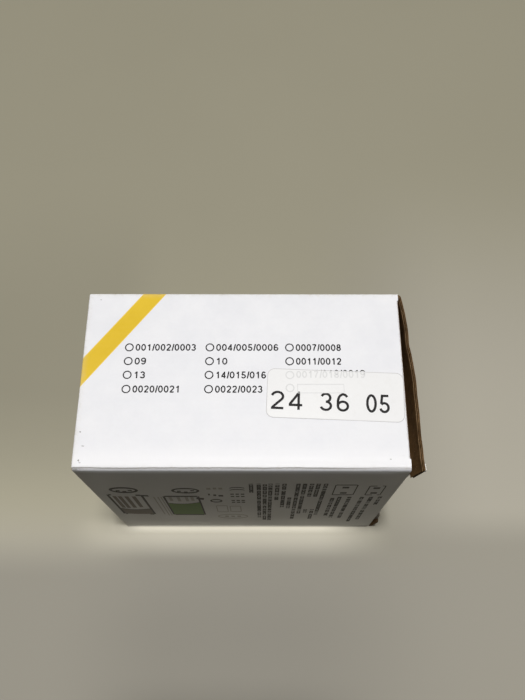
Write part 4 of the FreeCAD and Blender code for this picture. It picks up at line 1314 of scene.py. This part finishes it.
def floor_material():
    """Grey-brown table, its uneven light painted in as smooth patches."""
    m = Material("table_top", Roughness=0.62, Specular_IOR_Level=0.3)
    x, y, _ = m.parts(m.where)
    cloud = m.noise(3.0, 4.0, 0.5)
    grain = m.noise(1400.0, 3.0, 0.6)

    def rise(value, low, high, most=1.0):
        return m.rise(value, low * MM, high * MM, most, EASE)

    def fall(value, low, high, most=1.0):
        return m.fall(value, low * MM, high * MM, most, EASE)

    base = m.mix(m.rise(cloud, 0.3, 0.7), rgb(0.303, 0.287, 0.219), rgb(0.322, 0.305, 0.235))
    cool = m.times(rise(x, 20, 120, 0.8), fall(y, 60, 240))
    cool = m.maths("MAXIMUM", rise(y, -20, -75, 0.85), cool)
    base = m.mix(cool, base, rgb(0.312, 0.297, 0.259))

    # brighter patches, then dimmer ones
    right = m.times(rise(x, 62, 150, 0.34), rise(y, -58, -30), fall(y, -10, 260))
    low_right = m.times(rise(x, 60, 160, 0.07), rise(y, 20, -60))
    left = m.times(fall(x, -100, -60, 0.34), rise(y, -76, -46), fall(y, -46, 22))
    gain = m.plus(m.plus(right, low_right), m.plus(left, 1.0))
    for dimmer in (
        (fall(x, -100, -60, 0.11), rise(y, 8, 50), fall(y, 80, 230)),
        (fall(y, -110, -54, 0.13), rise(x, -125, -45), fall(x, 20, 120)),
        (fall(y, -160, -126, 0.30), rise(x, -110, -40), fall(x, 10, 90)),
        (rise(x, LEFT - 24, LEFT - 6, 0.38), rise(y, FRONT - 10, FRONT + 5),
         fall(y, FRONT + 10, FRONT + 50), fall(x, LEFT, LEFT + 9)),
    ):
        gain = m.minus(gain, m.times(*dimmer))

    # light thrown back by something out of view: a pool before the front, and close along its
    # foot a narrow strip brighter than any colour could make it
    across = m.times(rise(x, LEFT - 40, LEFT + 28), fall(x, RIGHT - 34, RIGHT + 18),
                     fall(y, FRONT - 1, FRONT + 8))
    pool = m.times(across, rise(y, FRONT - 22, FRONT - 3, 0.54))
    glint = m.times(rise(x, LEFT - 12, LEFT + 14), fall(x, RIGHT - 34, RIGHT + 8),
                    rise(y, FRONT - 5, FRONT - 0.6), fall(y, FRONT, FRONT + 2))
    m.feed(m.shader, Emission_Strength=m.times(glint, 0.36), Emission_Color=rgb(1.0, 0.94, 0.79))
    gain = m.plus(gain, m.times(pool, 2.0))
    away = m.result("ShaderNodeVectorMath", m.where, operation="LENGTH", output="Value")
    near = m.fall(away, 0.23, 0.45, 1.0, EASE)
    gain = m.plus(m.times(m.minus(gain, 1.0), near), 1.0)
    # painted contact shadow along the foot of the front
    contact_shadow = m.times(rise(y, FRONT - 0.5, FRONT), fall(y, FRONT + 3, FRONT + 5),
                      rise(x, LEFT, LEFT + 1), fall(x, RIGHT - 2, RIGHT))
    gain = m.times(gain, m.minus(1.0, m.times(contact_shadow, 0.6)))
    scaled = m.add("ShaderNodeVectorMath", operation="SCALE")
    m.assign(scaled.inputs[0], base)
    m.feed(scaled, Scale=gain)
    base = m.mix(m.times(pool, 0.3), scaled.outputs[0], rgb(0.60, 0.585, 0.53))
    m.colour(m.mix(m.rise(grain, 0.3, 0.8, 0.06), base, rgb(0.30, 0.27, 0.22)))
    m.bump(grain, 0.04, 0.00005)

    # far off, the table fades into the backdrop
    glow = m.feed(m.add("ShaderNodeEmission"), Color=BACKDROP, Strength=1.0)
    m.show(m.rise(away, 0.7, 2.0, 1.0, EASE), m.shader.outputs[0], glow.outputs[0])
    return m.material


def sheet(name, corners, material):
    """A large flat piece of the setting."""
    mesh = bpy.data.meshes.new(name)
    mesh.from_pydata(corners, [], [(0, 1, 2, 3)])
    mesh.materials.append(material)
    return put(name, mesh)


def make_table():
    corners = [(x, y, 0) for x, y in bar(-HALF_TABLE, -HALF_TABLE, HALF_TABLE, HALF_TABLE)]
    floor = sheet("table_top", corners, floor_material())
    floor.location.z = CAD_BOX[0][2] - 0.0002  # a hair below the object


def make_screen():
    """A black screen out of view, which keeps light off the front as a dark room does. It is
    black only towards the object, so that it casts no shade on the table beyond it."""
    m = Material("black_cloth", Roughness=0.9)
    m.colour(m.mix(m.noise(200.0, 2.0, 0.5), rgb(0.004, 0.004, 0.004), rgb(0.006, 0.006, 0.006)))
    m.show(m.add("ShaderNodeNewGeometry").outputs["Backfacing"],
           m.add("ShaderNodeBsdfTransparent").outputs[0], m.shader.outputs[0])
    corners = [(x, SCREEN_Y, z) for x, z in bar(-HALF_SCREEN, 0, HALF_SCREEN, SCREEN_HIGH)]
    screen = sheet("dark_screen", corners, m.material)
    screen.visible_camera = screen.visible_shadow = screen.visible_glossy = False


def make_room():
    """An even backdrop that lights the object from behind more than from in front."""
    world = bpy.data.worlds.new("room")
    world.use_nodes = True
    w = Nodes(world.node_tree)
    y = w.parts(w.add("ShaderNodeTexCoord").outputs["Generated"])["Y"]
    sky = w.between(y, -0.30, 0.25, *ROOM_LIGHT, EASE)
    seen = w.add("ShaderNodeLightPath").outputs["Is Camera Ray"]
    w.feed(world.node_tree.nodes["Background"], Color=BACKDROP,
           Strength=w.between(seen, 0.0, 1.0, sky, 1.0))
    bpy.context.scene.world = world

    light = bpy.data.lights.new("ceiling_lamp", "AREA")
    light.energy, light.size = LAMP_POWER, LAMP_SIZE
    light.color = (1.0, 0.985, 0.97)
    lamp = put("ceiling_lamp", light)
    lamp.location = LAMP_PLACE
    lamp.rotation_euler = (-Vector(LAMP_PLACE)).to_track_quat("-Z", "Y").to_euler()


def make_camera():
    lens = bpy.data.cameras.new("camera")
    lens.sensor_fit = "VERTICAL"
    lens.sensor_width, lens.sensor_height = CAMERA_SENSOR
    lens.lens = CAMERA_LENS
    lens.clip_start, lens.clip_end = 0.01, 20.0
    camera = put("camera", lens)
    camera.location, camera.rotation_euler = CAMERA_PLACE, CAMERA_TURN
    bpy.context.scene.camera = camera
    bpy.context.scene.view_settings.view_transform = "Standard"


dress_cad_nodes()
make_top_and_base()
make_front_and_back()
make_glue_tab()
make_outer_lock_flaps()
make_inner_lock_flaps()
make_closure()
make_tuck()
make_dust_flaps()
make_creases()
make_cradle()
make_leaflet()
make_top_print()
make_label()
make_small_print()
make_icons()
make_table()
make_screen()
make_room()
make_camera()
